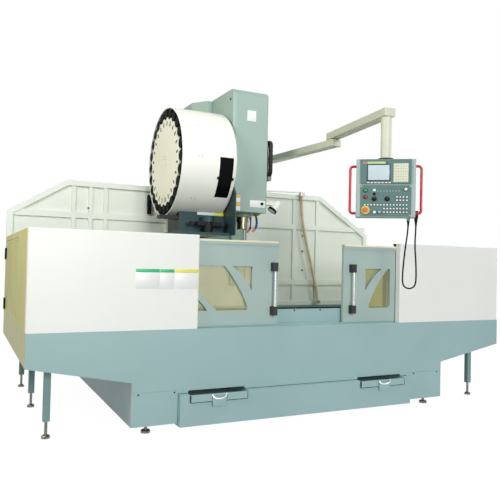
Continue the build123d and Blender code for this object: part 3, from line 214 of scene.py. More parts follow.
def blended(tree, share, first, second, output):
    """Puts out two shaders, blended by the second one's share."""
    blend = tree.nodes.new("ShaderNodeMixShader")
    tree.links.new(share, blend.inputs["Fac"])
    tree.links.new(first.outputs[0], blend.inputs[1])
    tree.links.new(second.outputs[0], blend.inputs[2])
    tree.links.new(blend.outputs[0], tree.nodes[output].inputs["Surface"])


bpy.ops.mesh.primitive_plane_add(size=60, location=(0, 0, -0.0005))
floor = bpy.context.object
floor.name = "floor"
floor_paint = bpy.data.materials.new("floor_paint")
floor_paint.use_nodes = True
tree = floor_paint.node_tree
plain = tree.nodes["Principled BSDF"]
plain.inputs["Base Color"].default_value = floor_grey
plain.inputs["Roughness"].default_value = 0.9
glow = tree.nodes.new("ShaderNodeEmission")
glow.inputs["Color"].default_value = (1, 1, 1, 1)
glow.inputs["Strength"].default_value = floor_glow
share = maths(tree, "MULTIPLY", either_ray(tree, "Is Camera Ray", "Is Glossy Ray"), glow_share)
blended(tree, share, plain, glow, "Material Output")
floor.data.materials.append(floor_paint)

bpy.context.scene.view_settings.view_transform = "Standard"
world = bpy.data.worlds.new("surround")
bpy.context.scene.world = world
world.use_nodes = True
tree = world.node_tree
ambient = tree.nodes["Background"]
ambient.inputs["Color"].default_value = (0.93, 0.97, 1, 1)
ambient.inputs["Strength"].default_value = ambient_level
white = tree.nodes.new("ShaderNodeBackground")
white.inputs["Color"].default_value = (1, 1, 1, 1)
white.inputs["Strength"].default_value = 1
direct = either_ray(tree, "Is Camera Ray", "Is Glossy Ray", "Is Transmission Ray")
blended(tree, direct, ambient, white, "World Output")


def soft_lamp(name, place, aim, size, power, colour):
    """A square lamp at a place, turned to a point."""
    lamp = bpy.data.lights.new(name, "AREA")
    lamp.size = size
    lamp.energy = power
    lamp.color = colour
    holder = bpy.data.objects.new(name, lamp)
    bpy.context.collection.objects.link(holder)
    holder.location = place
    holder.rotation_euler = (Vector(aim) - Vector(place)).to_track_quat("-Z", "Y").to_euler()
    return holder


soft_lamp("key_lamp", (-1.2, skirt_y - 15.8, 4.9), aim=(0, 0, 1.3), size=5, power=1400,
          colour=(1, 1, 0.99))
soft_lamp("drum_lamp", (-3.5, skirt_y - 0.7, 3.5), aim=(-0.6, 0, 2.2), size=1.2, power=66,
          colour=(1, 1, 0.97))
soft_lamp("guard_lamp", (2.7, skirt_y - 0.3, 4.0), aim=(1.2, 0.8, 1.8), size=1.2, power=48,
          colour=(1, 1, 0.97))
soft_lamp("back_lamp", (8, 14, 5), aim=(0, 0, 1.2), size=5, power=700, colour=(1, 1, 0.99))
soft_lamp("side_lamp", (-6.8, 0.6, 5.6), aim=(-2, 0, 1.2), size=1.6, power=62,
          colour=(1, 0.9, 0.3))

# Splash tray: a trough of folded steel sheet, welded at its corners and sprayed in a
# blue-grey enamel. Its ends are coloured olive as painted warm light, like the side panels. The
# base, the chip box and the drawers have the same enamel, the doors a close tint of it, and the
# legs a darker enamel that is painted shade under the tray.


def enamel(name, colour, roughness=0.42, drift=0.05, peel=0.06, gloss=0.4):
    """Sprayed paint: a slow drift in colour, patchy gloss and the fine ripple of enamel."""
    material, tree, place = new_finish(name, gloss)
    tint(tree, noise(tree, place, 1.6, 6), toned(colour, 1 - drift), toned(colour, 1 + drift),
         0.3, 0.7)
    dull(tree, noise(tree, place, 7, 4), roughness - 0.07, roughness + 0.09)
    ripple(tree, noise(tree, place, 240), peel)
    return material


def beyond(tree, axis, middle, reach):
    """One where a point lies beyond a reach from a level along one axis, else nought."""
    place = tree.nodes.new("ShaderNodeTexCoord")
    split = tree.nodes.new("ShaderNodeSeparateXYZ")
    tree.links.new(place.outputs["Object"], split.inputs["Vector"])
    distance = maths(tree, "ABSOLUTE", maths(tree, "SUBTRACT", split.outputs[axis], middle))
    return maths(tree, "GREATER_THAN", distance, reach)


def banded(material, axis, middle, reach, colour):
    """Gives a finish another colour beyond a reach on both sides of a level along one axis."""
    tree = material.node_tree
    base = tree.nodes["Principled BSDF"].inputs["Base Color"]
    under = base.links[0].from_socket
    either = tree.nodes.new("ShaderNodeMixRGB")
    either.inputs["Color2"].default_value = colour
    tree.links.new(beyond(tree, axis, middle, reach), either.inputs["Fac"])
    tree.links.new(under, either.inputs["Color1"])
    tree.links.new(either.outputs["Color"], base)
    return material


def paint_nodes(material, *names):
    """Gives a CAD node, or several, one finish."""
    for name in names:
        for holder in nodes[name].material_slots:
            holder.material = material


tray_end, hatch_face, panel_side = 2.1985, 2.2005, 2.2
# Painted warm light: the tray's ends, beyond tray_end along X, are coloured olive to stand for the
# warm light that falls on them.
painted_warm_light_olive = shade(168, 168, 108)
tray_enamel = banded(enamel("tray_enamel", shade(155, 185, 186)), "X", 0, tray_end, painted_warm_light_olive)
paint_nodes(tray_enamel, "splash_tray", "base", "chip_box", "left_chip_drawer",
            "right_chip_drawer", "door_track")
door_enamel = enamel("door_enamel", shade(168, 188, 183))
paint_nodes(door_enamel, "left_door", "right_door")
# Painted shade: the legs' enamel is darker than the tray's, to stand for the shade under the tray.
leg_painted_shade = enamel("leg_painted_shade", shade(128, 158, 157), roughness=0.5, drift=0.08, peel=0.08,
                    gloss=0.2)
paint_nodes(leg_painted_shade, "support_legs")


def clear_choice():
    """Leaves edit mode with nothing selected."""
    if bpy.context.object and bpy.context.object.mode == "EDIT":
        bpy.ops.object.mode_set(mode="OBJECT")
    bpy.ops.object.select_all(action="DESELECT")


def edit(piece, kind="FACE"):
    """Opens a piece in edit mode with nothing selected."""
    clear_choice()
    piece.select_set(True)
    bpy.context.view_layer.objects.active = piece
    bpy.ops.object.mode_set(mode="EDIT")
    bpy.ops.mesh.select_mode(type=kind)
    bpy.ops.mesh.select_all(action="DESELECT")


def settle(piece, angle=40):
    """Leaves edit mode, puts the place in the mesh and smooths the rounded edges."""
    clear_choice()
    piece.select_set(True)
    bpy.context.view_layer.objects.active = piece
    bpy.ops.object.transform_apply(location=True, rotation=True, scale=True)
    bpy.ops.object.shade_smooth_by_angle(angle=radians(angle))
    return piece


def block(name, low, high, soften, segments=2):
    """A plate or box between two corners, with all its edges rounded."""
    clear_choice()
    low, high = Vector(low), Vector(high)
    bpy.ops.mesh.primitive_cube_add(size=1, location=(low + high) / 2)
    piece = bpy.context.object
    piece.name = name
    piece.scale = high - low
    bpy.ops.object.transform_apply(location=True, scale=True)
    edit(piece, "EDGE")
    bpy.ops.mesh.select_all(action="SELECT")
    bpy.ops.mesh.bevel(offset=soften, segments=segments, affect="EDGES")
    return settle(piece)


def turned(name, centre, axis, rings, sides=32):
    """A turned piece: a disc extruded ring by ring along an axis, as (radius, distance) pairs."""
    clear_choice()
    bpy.ops.mesh.primitive_circle_add(vertices=sides, radius=rings[0][0], fill_type="NGON")
    piece = bpy.context.object
    piece.name = name
    edit(piece)
    bpy.ops.mesh.select_all(action="SELECT")
    bpy.ops.transform.translate(value=(0, 0, rings[0][1]))
    for before, ring in zip(rings, rings[1:]):
        step = (0, 0, ring[1] - before[1])
        bpy.ops.mesh.extrude_region_move(TRANSFORM_OT_translate={"value": step})
        grow = ring[0] / before[0]
        bpy.ops.transform.resize(value=(grow, grow, 1), center_override=(0, 0, ring[1]))
    bpy.ops.mesh.select_all(action="SELECT")
    bpy.ops.mesh.normals_make_consistent(inside=False)
    clear_choice()
    piece.matrix_world = (Matrix.Translation(centre)
                          @ Vector(axis).to_track_quat("Z", "Y").to_matrix().to_4x4())
    return settle(piece, 30)


def repeat(piece, shifts):
    """Copies a piece to each shift, or place and turn, every copy with its own mesh."""
    copies = []
    for shift in shifts:
        copy = piece.copy()
        copy.data = piece.data.copy()
        copy.data.transform(shift if isinstance(shift, Matrix) else Matrix.Translation(shift))
        bpy.context.collection.objects.link(copy)
        copies.append(copy)
    bpy.data.objects.remove(piece)
    return fused(copies[0].name.rsplit(".", 1)[0], copies)


def fused(name, parts):
    """Joins like pieces that one body carries into one piece."""
    clear_choice()
    for part in parts:
        part.select_set(True)
    bpy.context.view_layer.objects.active = parts[0]
    if len(parts) > 1:
        bpy.ops.object.join()
    parts[0].name = name
    return parts[0]


def fit(piece, material, body):
    """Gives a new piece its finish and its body."""
    piece.data.materials.clear()
    piece.data.materials.append(material)
    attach(piece, body)
    return piece


def screw(name, centre, facing, radius):
    """A cap screw: a turned head with a rounded rim and a hexagon socket."""
    rim, socket, top = 0.86 * radius, 0.45 * radius, 0.62 * radius
    return turned(name, centre, facing, [(radius, -0.001), (radius, 0.5 * radius), (rim, top),
                                         (socket, top), (0.42 * radius, 0.2 * radius)], sides=12)


# Skirt fittings: two dark cap screws in the seam at each end of the base. Dark moulded
# plastic and zinc plate are on most small fittings of the machine.
dark_plastic = rubber("dark_plastic", (0.009, 0.010, 0.010, 1), roughness=0.5, grain=260,
                      gloss=0.1)


def plated(name, low, high):
    """Plated steel with a cloudy sheen."""
    material, tree, place = new_finish(name, metal=1)
    cloud = noise(tree, place, 30, 6)
    tint(tree, cloud, low, high)
    dull(tree, cloud, 0.24, 0.46)
    return material


zinc = plated("zinc_plate", (0.38, 0.38, 0.36, 1), (0.66, 0.66, 0.63, 1))
seam_screws = repeat(screw("seam_screws", (0, skirt_y, 0.297), (0, -1, 0), 0.006),
                     [(side * x, 0, 0) for side in (-1, 1) for x in (1.145, 1.42)])
fit(seam_screws, dark_plastic, "machine_frame")

# Drawer pulls: on each drawer a sprayed tab that hangs below the front, with a bent lip along
# its top to hook the fingers under. The lip is bright plated steel, a painted highlight for the
# lit edge of the bent sheet.
# Painted highlight: the lip is bright plated steel, to stand for the lit edge of the bent enamel
# sheet.
lip_steel_painted_highlight = plated("lip_steel_painted_highlight", (0.66, 0.68, 0.66, 1), (0.86, 0.88, 0.86, 1))
for side, middle in (("left", -0.807), ("right", 0.761)):
    tab = block(side + "_pull_tab", (middle - 0.056, skirt_y - 0.0690, 0.184),
                (middle + 0.056, skirt_y - 0.0615, 0.252), 0.0034, 3)
    fit(tab, tray_enamel, side + "_drawer")
    lip_points = [Vector((middle + a, skirt_y - 0.0685 - b, z)) for a, b, z in
                  ((-0.060, -0.003, 0.270), (-0.048, 0.006, 0.250), (-0.020, 0.010, 0.242),
                   (0.020, 0.010, 0.244), (0.048, 0.006, 0.254), (0.062, -0.003, 0.276))]
    lip = hung_line(side + "_pull_lip", lip_points, 0.0055)
    clear_choice()
    lip.select_set(True)
    bpy.context.view_layer.objects.active = lip
    bpy.ops.object.convert(target="MESH")
    fit(settle(bpy.context.object), lip_steel_painted_highlight, side + "_drawer")

# Drawer edge trims: a black rubber bead round the sides and foot of each drawer front.
trim_half, trim_foot, trim_top = 0.2362, 0.2195, 0.2750
for side, middle in (("left", -0.802), ("right", 0.750)):
    beads = [block("bead", (middle + left, skirt_y - 0.0634, low),
                   (middle + right, skirt_y - 0.0560, high), 0.0008)
             for left, right, low, high in (
                 (-trim_half, 0.004 - trim_half, trim_foot + 0.001, trim_top),
                 (trim_half - 0.004, trim_half, trim_foot + 0.001, trim_top),
                 (-trim_half, trim_half, trim_foot, trim_foot + 0.004))]
    fit(fused(side + "_drawer_trim", beads), dark_plastic, side + "_drawer")

# Feet: turned steel pads on threaded studs, with a hexagon nut on each stud under the base
# and the legs, all in a dark steel that is painted shade.


def ground(name, light, dark, across_scale, along_scale, roughness):
    """Ground or brushed steel with fine lines along X."""
    material, tree, place = new_finish(name, metal=1)
    stretch = tree.nodes.new("ShaderNodeMapping")
    stretch.inputs["Scale"].default_value = (along_scale, across_scale, across_scale)
    tree.links.new(place, stretch.inputs["Vector"])
    lines = noise(tree, stretch.outputs["Vector"], 1, 7)
    tint(tree, lines, (*dark, 1), (*light, 1), 0.3, 0.75)
    dull(tree, lines, roughness - 0.06, roughness + 0.1)
    ripple(tree, lines, 0.12, 0.0005)
    return material


# Painted shade: the feet and their nuts get a dark steel that stands for the shade under the
# machine.
foot_steel_painted_shade = ground("foot_steel_painted_shade", light=(0.30, 0.29, 0.25), dark=(0.10, 0.10, 0.09),
                    across_scale=120, along_scale=120, roughness=0.3)
paint_nodes(foot_steel_painted_shade, "levelling_feet")
enclosure_depth, foot_x, middle_foot_x = 2.167, 1.335, 0.445
inner_y = [skirt_y + y for y in (enclosure_depth / 3, 2 * enclosure_depth / 3)]
outer_y = [skirt_y + y for y in (0.083, enclosure_depth / 2, enclosure_depth - 0.160)]
foot_places = [(x, y, 0) for y in outer_y for x in (-foot_x, foot_x)]
foot_places += [(x, y, 0) for y in inner_y for x in (-middle_foot_x, middle_foot_x)]
nut = turned("foot_nuts", (0, 0, 0.0475), (0, 0, 1),
             [(0.0125, 0), (0.019, 0), (0.021, 0.002), (0.021, 0.014), (0.019, 0.016),
              (0.0125, 0.016)], sides=6)
foot_nuts = repeat(nut, foot_places)
fit(foot_nuts, foot_steel_painted_shade, "machine_frame")

# Panels: bent sheet steel, in a warm white enamel at the front. The sides and their hatches
# are coloured olive as painted warm light from the left. The hatches in the sides lift off, and
# have black pulls and screws along the top and the foot.
panel_enamel = enamel("panel_enamel", shade(240, 241, 237), roughness=0.38, drift=0.02, peel=0.05,
                      gloss=0.45)
paint_nodes(panel_enamel, "front_panels")
# Painted warm light: the olive of the side panels stands for the warm light on them.
side_painted_warm_light = enamel("side_painted_warm_light", shade(198, 193, 118), roughness=0.45, drift=0.10, peel=0.05,
                     gloss=0.12)
paint_nodes(side_painted_warm_light, "side_panels")
pull_black = (0.012, 0.012, 0.012, 1)
# Painted warm light: the hatches are coloured olive to stand for the warm light on them; the black
# beyond hatch_face is their moulded pulls.
hatch_painted_warm_light_and_pulls = banded(enamel("hatch_painted_warm_light_and_pulls", shade(192, 188, 114), roughness=0.45, drift=0.10,
                             peel=0.05, gloss=0.12),
                      "X", 0, hatch_face, pull_black)
paint_nodes(hatch_painted_warm_light_and_pulls, "side_hatches")
hatch_screws = repeat(screw("hatch_screws", (0, 0, 0), (1, 0, 0), 0.008),
                      [Matrix.Translation((side * panel_side, skirt_y + y, z))
                       @ Matrix.Rotation(pi * (side < 0), 4, "Z")
                       for side in (-1, 1) for y in (0.80, 1.41, 2.02) for z in (0.83, 1.41)])
fit(hatch_screws, zinc, "machine_frame")

# Rear guards: thin sheets in a welded frame of square tube, in a pale grey enamel, with dark
# screws, zinc clamps for the hose and a cable duct by the column. The cabinet behind the
# column has the same enamel, four latches and two stacks of louvres.
guard_enamel = enamel("guard_enamel", shade(224, 231, 221), roughness=0.45, drift=0.04, peel=0.05)
paint_nodes(guard_enamel, "rear_guards", "electrical_cabinet")
paint_nodes(zinc, "hose_clamps")
guard_screws = repeat(screw("guard_screws", (0, skirt_y + 2.141, 0), (0, -1, 0), 0.010),
                      [(-1.408, 0, 2.050), (-1.408, 0, 1.813), (1.229, 0, 1.624),
                       (1.229, 0, 1.433), (1.229, 0, 1.196)])
fit(guard_screws, dark_plastic, "machine_frame")
cable_duct = block("cable_duct", (-0.770, skirt_y + 2.112, 1.788),
                   (-0.730, skirt_y + 2.160, 1.995), 0.004)
fit(cable_duct, dark_plastic, "machine_frame")
cabinet_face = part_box("electrical_cabinet")[1].y
latch = block("cabinet_latches", (-0.014, -0.001, -0.055), (0.014, 0.018, 0.055), 0.006, 3)
cabinet_latches = repeat(latch, [(x, cabinet_face, z)
                                 for x in (-0.05, 0.05) for z in (1.25, 1.75)])
fit(cabinet_latches, dark_plastic, "machine_frame")
louvre = block("cabinet_louvres", (-0.120, -0.001, -0.006), (0.120, 0.007, 0.006), 0.0035, 2)
lowest_louvre, louvre_step = 1.12, 0.03
cabinet_louvres = repeat(louvre, [(x, cabinet_face, lowest_louvre + louvre_step * i)
                                  for x in (-0.25, 0.25) for i in range(5)])
fit(cabinet_louvres, guard_enamel, "machine_frame")

# Column, its cap and the head: iron castings and sheet covers in a green-grey enamel.
casting_enamel = enamel("casting_enamel", shade(157, 180, 172), roughness=0.46, drift=0.05,
                        peel=0.12)
paint_nodes(casting_enamel, "column", "column_cap", "head")

# Head fittings: a bare square plate, two small bare plates with an amber head, a bare plate
# with a black push button, and the dark cover screws, all on the sheet cover.
plate_white = enamel("plate_white", shade(236, 238, 236), roughness=0.35, drift=0.02, peel=0.02,
                     gloss=0.5)
plate_amber = enamel("plate_amber", shade(236, 190, 88), roughness=0.35, drift=0.04, peel=0.02,
                     gloss=0.5)


def front_plate(name, face, left, right, low, high, proud=0.0025, soften=0.001):
    """A thin plate on a face that looks to the front, let in a millimetre."""
    return block(name, (left, face - proud, low), (right, face + 0.001, high), soften)


head_face, label_left, label_right = skirt_y + 1.080, -0.214, -0.138
head_plates = fused("head_plates", [
    front_plate("head_plates", head_face, -0.081, 0.017, 2.686, 2.794),
    front_plate("middle_plate", head_face, -0.031, 0.140, 1.830, 1.899),
    front_plate("upper_plate", head_face, label_left, label_right, 1.870, 1.914),
    front_plate("lower_plate", head_face, label_left, label_right, 1.788, 1.830)])
fit(head_plates, plate_white, "head_slide")
amber_plates = fused("amber_plates", [
    front_plate("amber_plates", head_face, label_left, label_right, 1.916, 1.942),
    front_plate("low_amber", head_face, label_left, label_right, 1.832, 1.866)])
fit(amber_plates, plate_amber, "head_slide")
push_rings = [(0.016, -0.001), (0.016, 0.005), (0.0135, 0.006), (0.0125, 0.014), (0.010, 0.016)]
head_button = turned("head_button", (0.102, head_face, 1.868), (0, -1, 0), push_rings, sides=24)
fit(head_button, dark_plastic, "head_slide")
head_left, head_right = -0.226, 0.167
head_screws = repeat(screw("head_screws", (0, 0, 0), (1, 0, 0), 0.011),
                     [Matrix.Translation((x, skirt_y + y, z))
                      @ Matrix.Rotation(pi * (x < 0), 4, "Z") for x in (head_left, head_right)
                      for y, z in ((1.164, 2.904), (1.40, 2.60), (1.164, 1.90))])
fit(head_screws, dark_plastic, "head_slide")

# Left panel plates: three bare white plates side by side on the front, two with a green head
# and one with a yellow head.
plate_green = enamel("plate_green", shade(66, 188, 128), roughness=0.4, drift=0.06, peel=0.02)
head_yellow = enamel("head_yellow", shade(232, 226, 110), roughness=0.4, drift=0.04, peel=0.02)
green_spans, yellow_span = [(-1.461, -1.282), (-1.278, -1.169)], (-1.165, -0.976)
bodies = [front_plate("panel_plates", skirt_y, *span, 1.068, 1.186, 0.0022, 0.0008)
          for span in (*green_spans, yellow_span)]
fit(fused("panel_plates", bodies), plate_white, "machine_frame")
heads = [front_plate("green_heads", skirt_y, *span, 1.187, 1.212, 0.0024, 0.0008)
         for span in green_spans]
fit(fused("green_heads", heads), plate_green, "machine_frame")
fit(front_plate("yellow_head", skirt_y, *yellow_span, 1.187, 1.214, 0.0024, 0.0008), head_yellow,
    "machine_frame")

# Tool drum: the cover is white, made lighter than the panels' white as painted light on its
# underside; the scalloped disc is cream plastic laminate, the pots are black nylon and the cover's
# window is a smoked pane.
# Painted light: the cover's white is lighter than the panels' white, to stand for the light
# falling on its underside.
drum_white_painted_light = enamel("drum_white_painted_light", shade(252, 252, 245), roughness=0.4, drift=0.01, peel=0.04,
                     gloss=0.4)
paint_nodes(drum_white_painted_light, "drum_cover")
disc_laminate = enamel("disc_laminate", shade(250, 249, 231), roughness=0.4, drift=0.02,
                       peel=0.03, gloss=0.4)
paint_nodes(disc_laminate, "tool_disc")
pot_nylon = rubber("pot_nylon", (0.006, 0.007, 0.007, 1), roughness=0.62, grain=300, gloss=0.05)
paint_nodes(pot_nylon, "tool_pots")
smoked_pane = enamel("smoked_pane", (0.002, 0.0025, 0.0025, 1), roughness=0.3, drift=0.1,
                     peel=0.0, gloss=0.06)
paint_nodes(smoked_pane, "drum_window")

# Tool drum fittings: dark rings in the disc's oval slots, one to each of the 24 pots, that are
# painted shadow for the shade inside the slot pockets; cap screws in the hub, small screws in
# pairs on the cover and the window's clips.
drum_y, drum_z, drum_radius = skirt_y + 1.440, 2.254, 0.537
slot_circle, hub_circle, slots = 0.380, 0.055, 24
disc_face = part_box("tool_disc")[0].x
# Painted shadow: a dark ring in each slot stands for the shade inside its pocket.
clear_choice()
bpy.ops.mesh.primitive_torus_add(major_segments=24, minor_segments=6,
                                 major_radius=0.5, minor_radius=0.17)
slot_shadow_ring = bpy.context.object
slot_shadow_ring.name = "slot_shadow_rings"
slot_shadow_ring.scale = (0.0400, 0.0185, 0.012)
slot_shadow_ring.rotation_euler = (0, radians(90), 0)
settle(slot_shadow_ring)
drum_middle = Matrix.Translation((0, drum_y, drum_z))
round_drum = [drum_middle @ Matrix.Rotation(radians((k + 0.5) * 360 / slots), 4, "X")
              for k in range(slots)]
slot_shadow_rings = repeat(slot_shadow_ring, [turn @ Matrix.Translation((disc_face, 0, slot_circle))
                              for turn in round_drum])
fit(slot_shadow_rings, dark_plastic, "tool_magazine")
disc_screws = repeat(screw("disc_screws", (0, 0, 0), (-1, 0, 0), 0.006),
                     [turn @ Matrix.Translation((disc_face, 0, hub_circle))
                      for turn in round_drum[::4]])
fit(disc_screws, zinc, "tool_magazine")


def on_cover(piece, places):
    """Stands a piece that was made facing -Y on the drum cover, at each X and angle."""
    out = Matrix.Translation((0, -drum_radius, 0))
    return repeat(piece, [Matrix.Translation((x, drum_y, drum_z))
                          @ Matrix.Rotation(radians(-angle), 4, "X") @ out for x, angle in places])


cover_screws = on_cover(screw("cover_screws", (0, 0, 0), (0, -1, 0), 0.0055),
                        [(x, angle) for x in (-0.655, -0.618) for angle in (34, 0, -45)])
fit(cover_screws, zinc, "machine_frame")
clip = block("window_clips", (-0.010, -0.007, -0.014), (0.010, 0.002, 0.014), 0.003)
clip_angle = -20.4
window_clips = on_cover(clip, [(-0.440, clip_angle), (-0.291, clip_angle)])
fit(window_clips, dark_plastic, "machine_frame")

# Tool changer: cast cam box and folded plates in a dark green-grey enamel, a bare white plate
# and a yellow one on the front of the box, and a black change arm.
changer_enamel = enamel("changer_enamel", shade(48, 72, 73), roughness=0.42, drift=0.14, peel=0.1,
                        gloss=0.3)
paint_nodes(changer_enamel, "changer_bracket", "changer_guard")
box_end, box_face, box_black = 0.7195, skirt_y + 1.230, (0.008, 0.009, 0.01, 1)
cam_box_enamel = banded(enamel("cam_box_enamel", shade(44, 68, 72), roughness=0.42, drift=0.18,
                               peel=0.1, gloss=0.3),
                        "X", 0, box_end, box_black)
paint_nodes(cam_box_enamel, "changer_gearbox")
box_plate = front_plate("box_plate", box_face, -0.530, -0.347, 1.734, 1.786, soften=0.0008)
fit(box_plate, plate_white, "machine_frame")
plate_yellow = enamel("plate_yellow", shade(228, 228, 70), roughness=0.35, drift=0.04, peel=0.02,
                      gloss=0.5)
yellow_plate = front_plate("yellow_plate", box_face, -0.346, -0.252, 1.734, 1.786, soften=0.0008)
fit(yellow_plate, plate_yellow, "machine_frame")
blacked_steel = enamel("blacked_steel", (0.010, 0.011, 0.011, 1), roughness=0.5, drift=0.2,
                       peel=0.05, gloss=0.2)
paint_nodes(blacked_steel, "change_arm")

# Bed, saddle and table: the castings are painted, the table top and the ways are ground steel
# with the fine lines of the grinding wheel. The spindle nose is a duller, warmer steel.
ground_steel = ground("ground_steel", light=(0.62, 0.63, 0.63), dark=(0.42, 0.43, 0.43),
                      across_scale=90, along_scale=3, roughness=0.3)
paint_nodes(ground_steel, "table", "chip_slides")
spindle_steel = ground("spindle_steel", light=(0.40, 0.35, 0.24), dark=(0.20, 0.18, 0.13),
                       across_scale=60, along_scale=60, roughness=0.34)
paint_nodes(spindle_steel, "spindle_nose")
paint_nodes(casting_enamel, "bed", "saddle")

# Doors: the window panes are yellow-tinted clear plastic. Each pull is a steel bar held by
# two black moulded blocks.
pane_plastic, tree, place = new_finish("pane_plastic")
shader = tree.nodes["Principled BSDF"]
shader.inputs["Alpha"].default_value = 0.42
shader.inputs["Roughness"].default_value = 0.08
tint(tree, noise(tree, place, 3), (0.50, 0.48, 0.22, 1), (0.62, 0.59, 0.30, 1))
paint_nodes(pane_plastic, "left_door_pane", "right_door_pane")

pull_middle, bar_half = 1.065, 0.143
pull_finish = ground("pull_finish", light=(0.8, 0.8, 0.78), dark=(0.62, 0.62, 0.6),
                     across_scale=60, along_scale=60, roughness=0.22)
tree = pull_finish.node_tree
bar_shader = tree.nodes["Principled BSDF"]
block_shader = tree.nodes.new("ShaderNodeBsdfPrincipled")
block_shader.inputs["Base Color"].default_value = (0.012, 0.013, 0.014, 1)
block_shader.inputs["Roughness"].default_value = 0.42
blended(tree, beyond(tree, "Z", pull_middle, bar_half), bar_shader, block_shader,
        "Material Output")
paint_nodes(pull_finish, "left_door_handle", "right_door_handle")
paint_nodes(dark_plastic, "door_rollers")

# Door trims: a cream edge strip along each door's top, a dark upright behind the right pane,
# and on the sill behind the doors a black rubber strip with two screws under it.
strip_cream = enamel("strip_cream", shade(238, 232, 204), roughness=0.4, drift=0.03, peel=0.03)
for side in ("left", "right"):
    door_low, door_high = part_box(side + "_door")
    strip = block(side + "_door_strip", (door_low.x + 0.002, skirt_y + 0.0605, 1.436),
                  (door_high.x - 0.002, skirt_y + 0.0665, 1.4515), 0.0015)
    fit(strip, strip_cream, side + "_door_slide")
door_upright = block("door_upright", (0.862, skirt_y + 0.104, 0.905),
                     (0.904, skirt_y + 0.116, 1.228), 0.003)
fit(door_upright, changer_enamel, "right_door_slide")
sill_strip = block("sill_strip", (-0.930, skirt_y + 0.1155, 0.894),
                   (0.930, skirt_y + 0.131, 0.9065), 0.004)
fit(sill_strip, dark_plastic, "machine_frame")
sill_screws = repeat(screw("sill_screws", (0, skirt_y + 0.120, 0.881), (0, -1, 0), 0.007),
                     [(x, 0, 0) for x in (-0.059, 0.198)])
fit(sill_screws, dark_plastic, "machine_frame")

# Pendant arms: rectangular steel tubes in pale enamel, on a bracket from the column. The box
# of the pendant is grey-green, with a darker face, red grips, an orange stop button and a
# black handwheel unit.
arm_enamel = enamel("arm_enamel", shade(222, 225, 204), roughness=0.42, drift=0.03, peel=0.05)
paint_nodes(arm_enamel, "rear_arm", "front_arm", "arm_bracket")
pendant_enamel = enamel("pendant_enamel", shade(172, 190, 188), roughness=0.42, drift=0.03,
                        peel=0.05)
paint_nodes(pendant_enamel, "pendant_housing")
panel_face = enamel("panel_face", shade(98, 128, 126), roughness=0.5, drift=0.06, peel=0.08,
                    gloss=0.3)
paint_nodes(panel_face, "operator_panel", "display_unit")
red_enamel = enamel("red_enamel", shade(214, 24, 20), roughness=0.3, drift=0.06, peel=0.04,
                    gloss=0.5)
paint_nodes(red_enamel, "pendant_handles")
stop_finish = enamel("stop_finish", shade(214, 120, 50), roughness=0.35, drift=0.05, peel=0.02,
                     gloss=0.5)
paint_nodes(stop_finish, "emergency_stop")
paint_nodes(dark_plastic, "handwheel_unit")

# Cord glands: under the pendant box and the handwheel unit the cord comes out of a tapered
# rubber sleeve.
sleeve_rings = [(0.0125, 0), (0.0125, 0.010), (0.0105, 0.013), (0.0078, 0.046), (0.0068, 0.050)]
sleeve_top = cord_top + 0.005
sleeve_parts = [turned("cord_sleeves", pendant_post + across * a + back * cord_depth
                       + Vector((0, 0, sleeve_top)), (0, 0, -1), sleeve_rings, sides=20)
                for a in (gland, unit)]
cord_sleeves = fit(fused("cord_sleeves", sleeve_parts), dark_plastic, "pendant")

# Pendant face: the display unit has a lit screen in a dark frame, a bare strip above it, a row
# of soft keys under it and a membrane keypad. The operator panel has knobs, push buttons with
# black collars, a stop button on a yellow collar and rows of small pale keys.
display_face, operator_face = -0.089, -0.081
key_pitch, soft_key_pitch, light_pitch, pad_across, pad_up = 0.026, 0.0288, 0.0243, 0.0196, 0.0216


def on_pendant(piece):
    """Turns a piece that was made square to the pendant's face to the pendant's own place."""
    swing = Matrix.Rotation(-pendant_angle, 4, "Z")
    piece.data.transform(Matrix.Translation(pendant_post) @ swing)
    return piece


def face_plate(name, left, right, low, high, face, proud, soften=0.001):
    """A thin plate on the pendant's face, between two distances across and two heights."""
    return on_pendant(block(name, (left, face - proud, low), (right, face + 0.0008, high), soften))


def face_keys(name, width, height, proud, face, places):
    """Like keys with rounded edges, each at its place across and up."""
    key = block(name, (-width / 2, face - proud, -height / 2),
                (width / 2, face + 0.001, height / 2), 0.0014)
    return on_pendant(repeat(key, [(a, 0, z) for a, z in places]))


def face_turned(name, places, face, rings, sides=28):
    """Like turned pieces on the pendant's face, such as buttons."""
    button = turned(name, (0, face, 0), (0, -1, 0), rings, sides)
    return on_pendant(repeat(button, [(a, 0, z) for a, z in places]))


screen_frame = enamel("screen_frame", shade(44, 62, 66), roughness=0.4, drift=0.1, peel=0.05)
fit(face_plate("screen_frame", -0.156, 0.036, 1.972, 2.112, display_face, 0.0020, 0.0012),
    screen_frame, "pendant")
lit_screen = enamel("lit_screen", shade(206, 224, 234), roughness=0.42, drift=0.04, peel=0.0,
                    gloss=0.25)
fit(face_plate("lit_screen", -0.146, 0.026, 1.9815, 2.1060, display_face - 0.002, 0.0012, 0.0008),
    lit_screen, "pendant")
strip_lime = enamel("strip_lime", shade(206, 214, 150), roughness=0.4, drift=0.04, peel=0.02)
fit(face_plate("name_strip", -0.152, -0.006, 2.116, 2.134, display_face, 0.0018), strip_lime,
    "pendant")
fit(face_plate("strip_end", -0.190, -0.157, 2.117, 2.133, display_face, 0.0016),
    enamel("strip_coral", shade(206, 132, 112), roughness=0.4, drift=0.05, peel=0.02),
    "pendant")
keypad_beige = enamel("keypad_beige", shade(206, 208, 186), roughness=0.5, drift=0.03, peel=0.04)
fit(face_plate("keypad_plate", 0.059, 0.180, 1.963, 2.120, display_face, 0.0022), keypad_beige,
    "pendant")
key_cream = enamel("key_cream", shade(234, 236, 218), roughness=0.42, drift=0.05, peel=0.04)
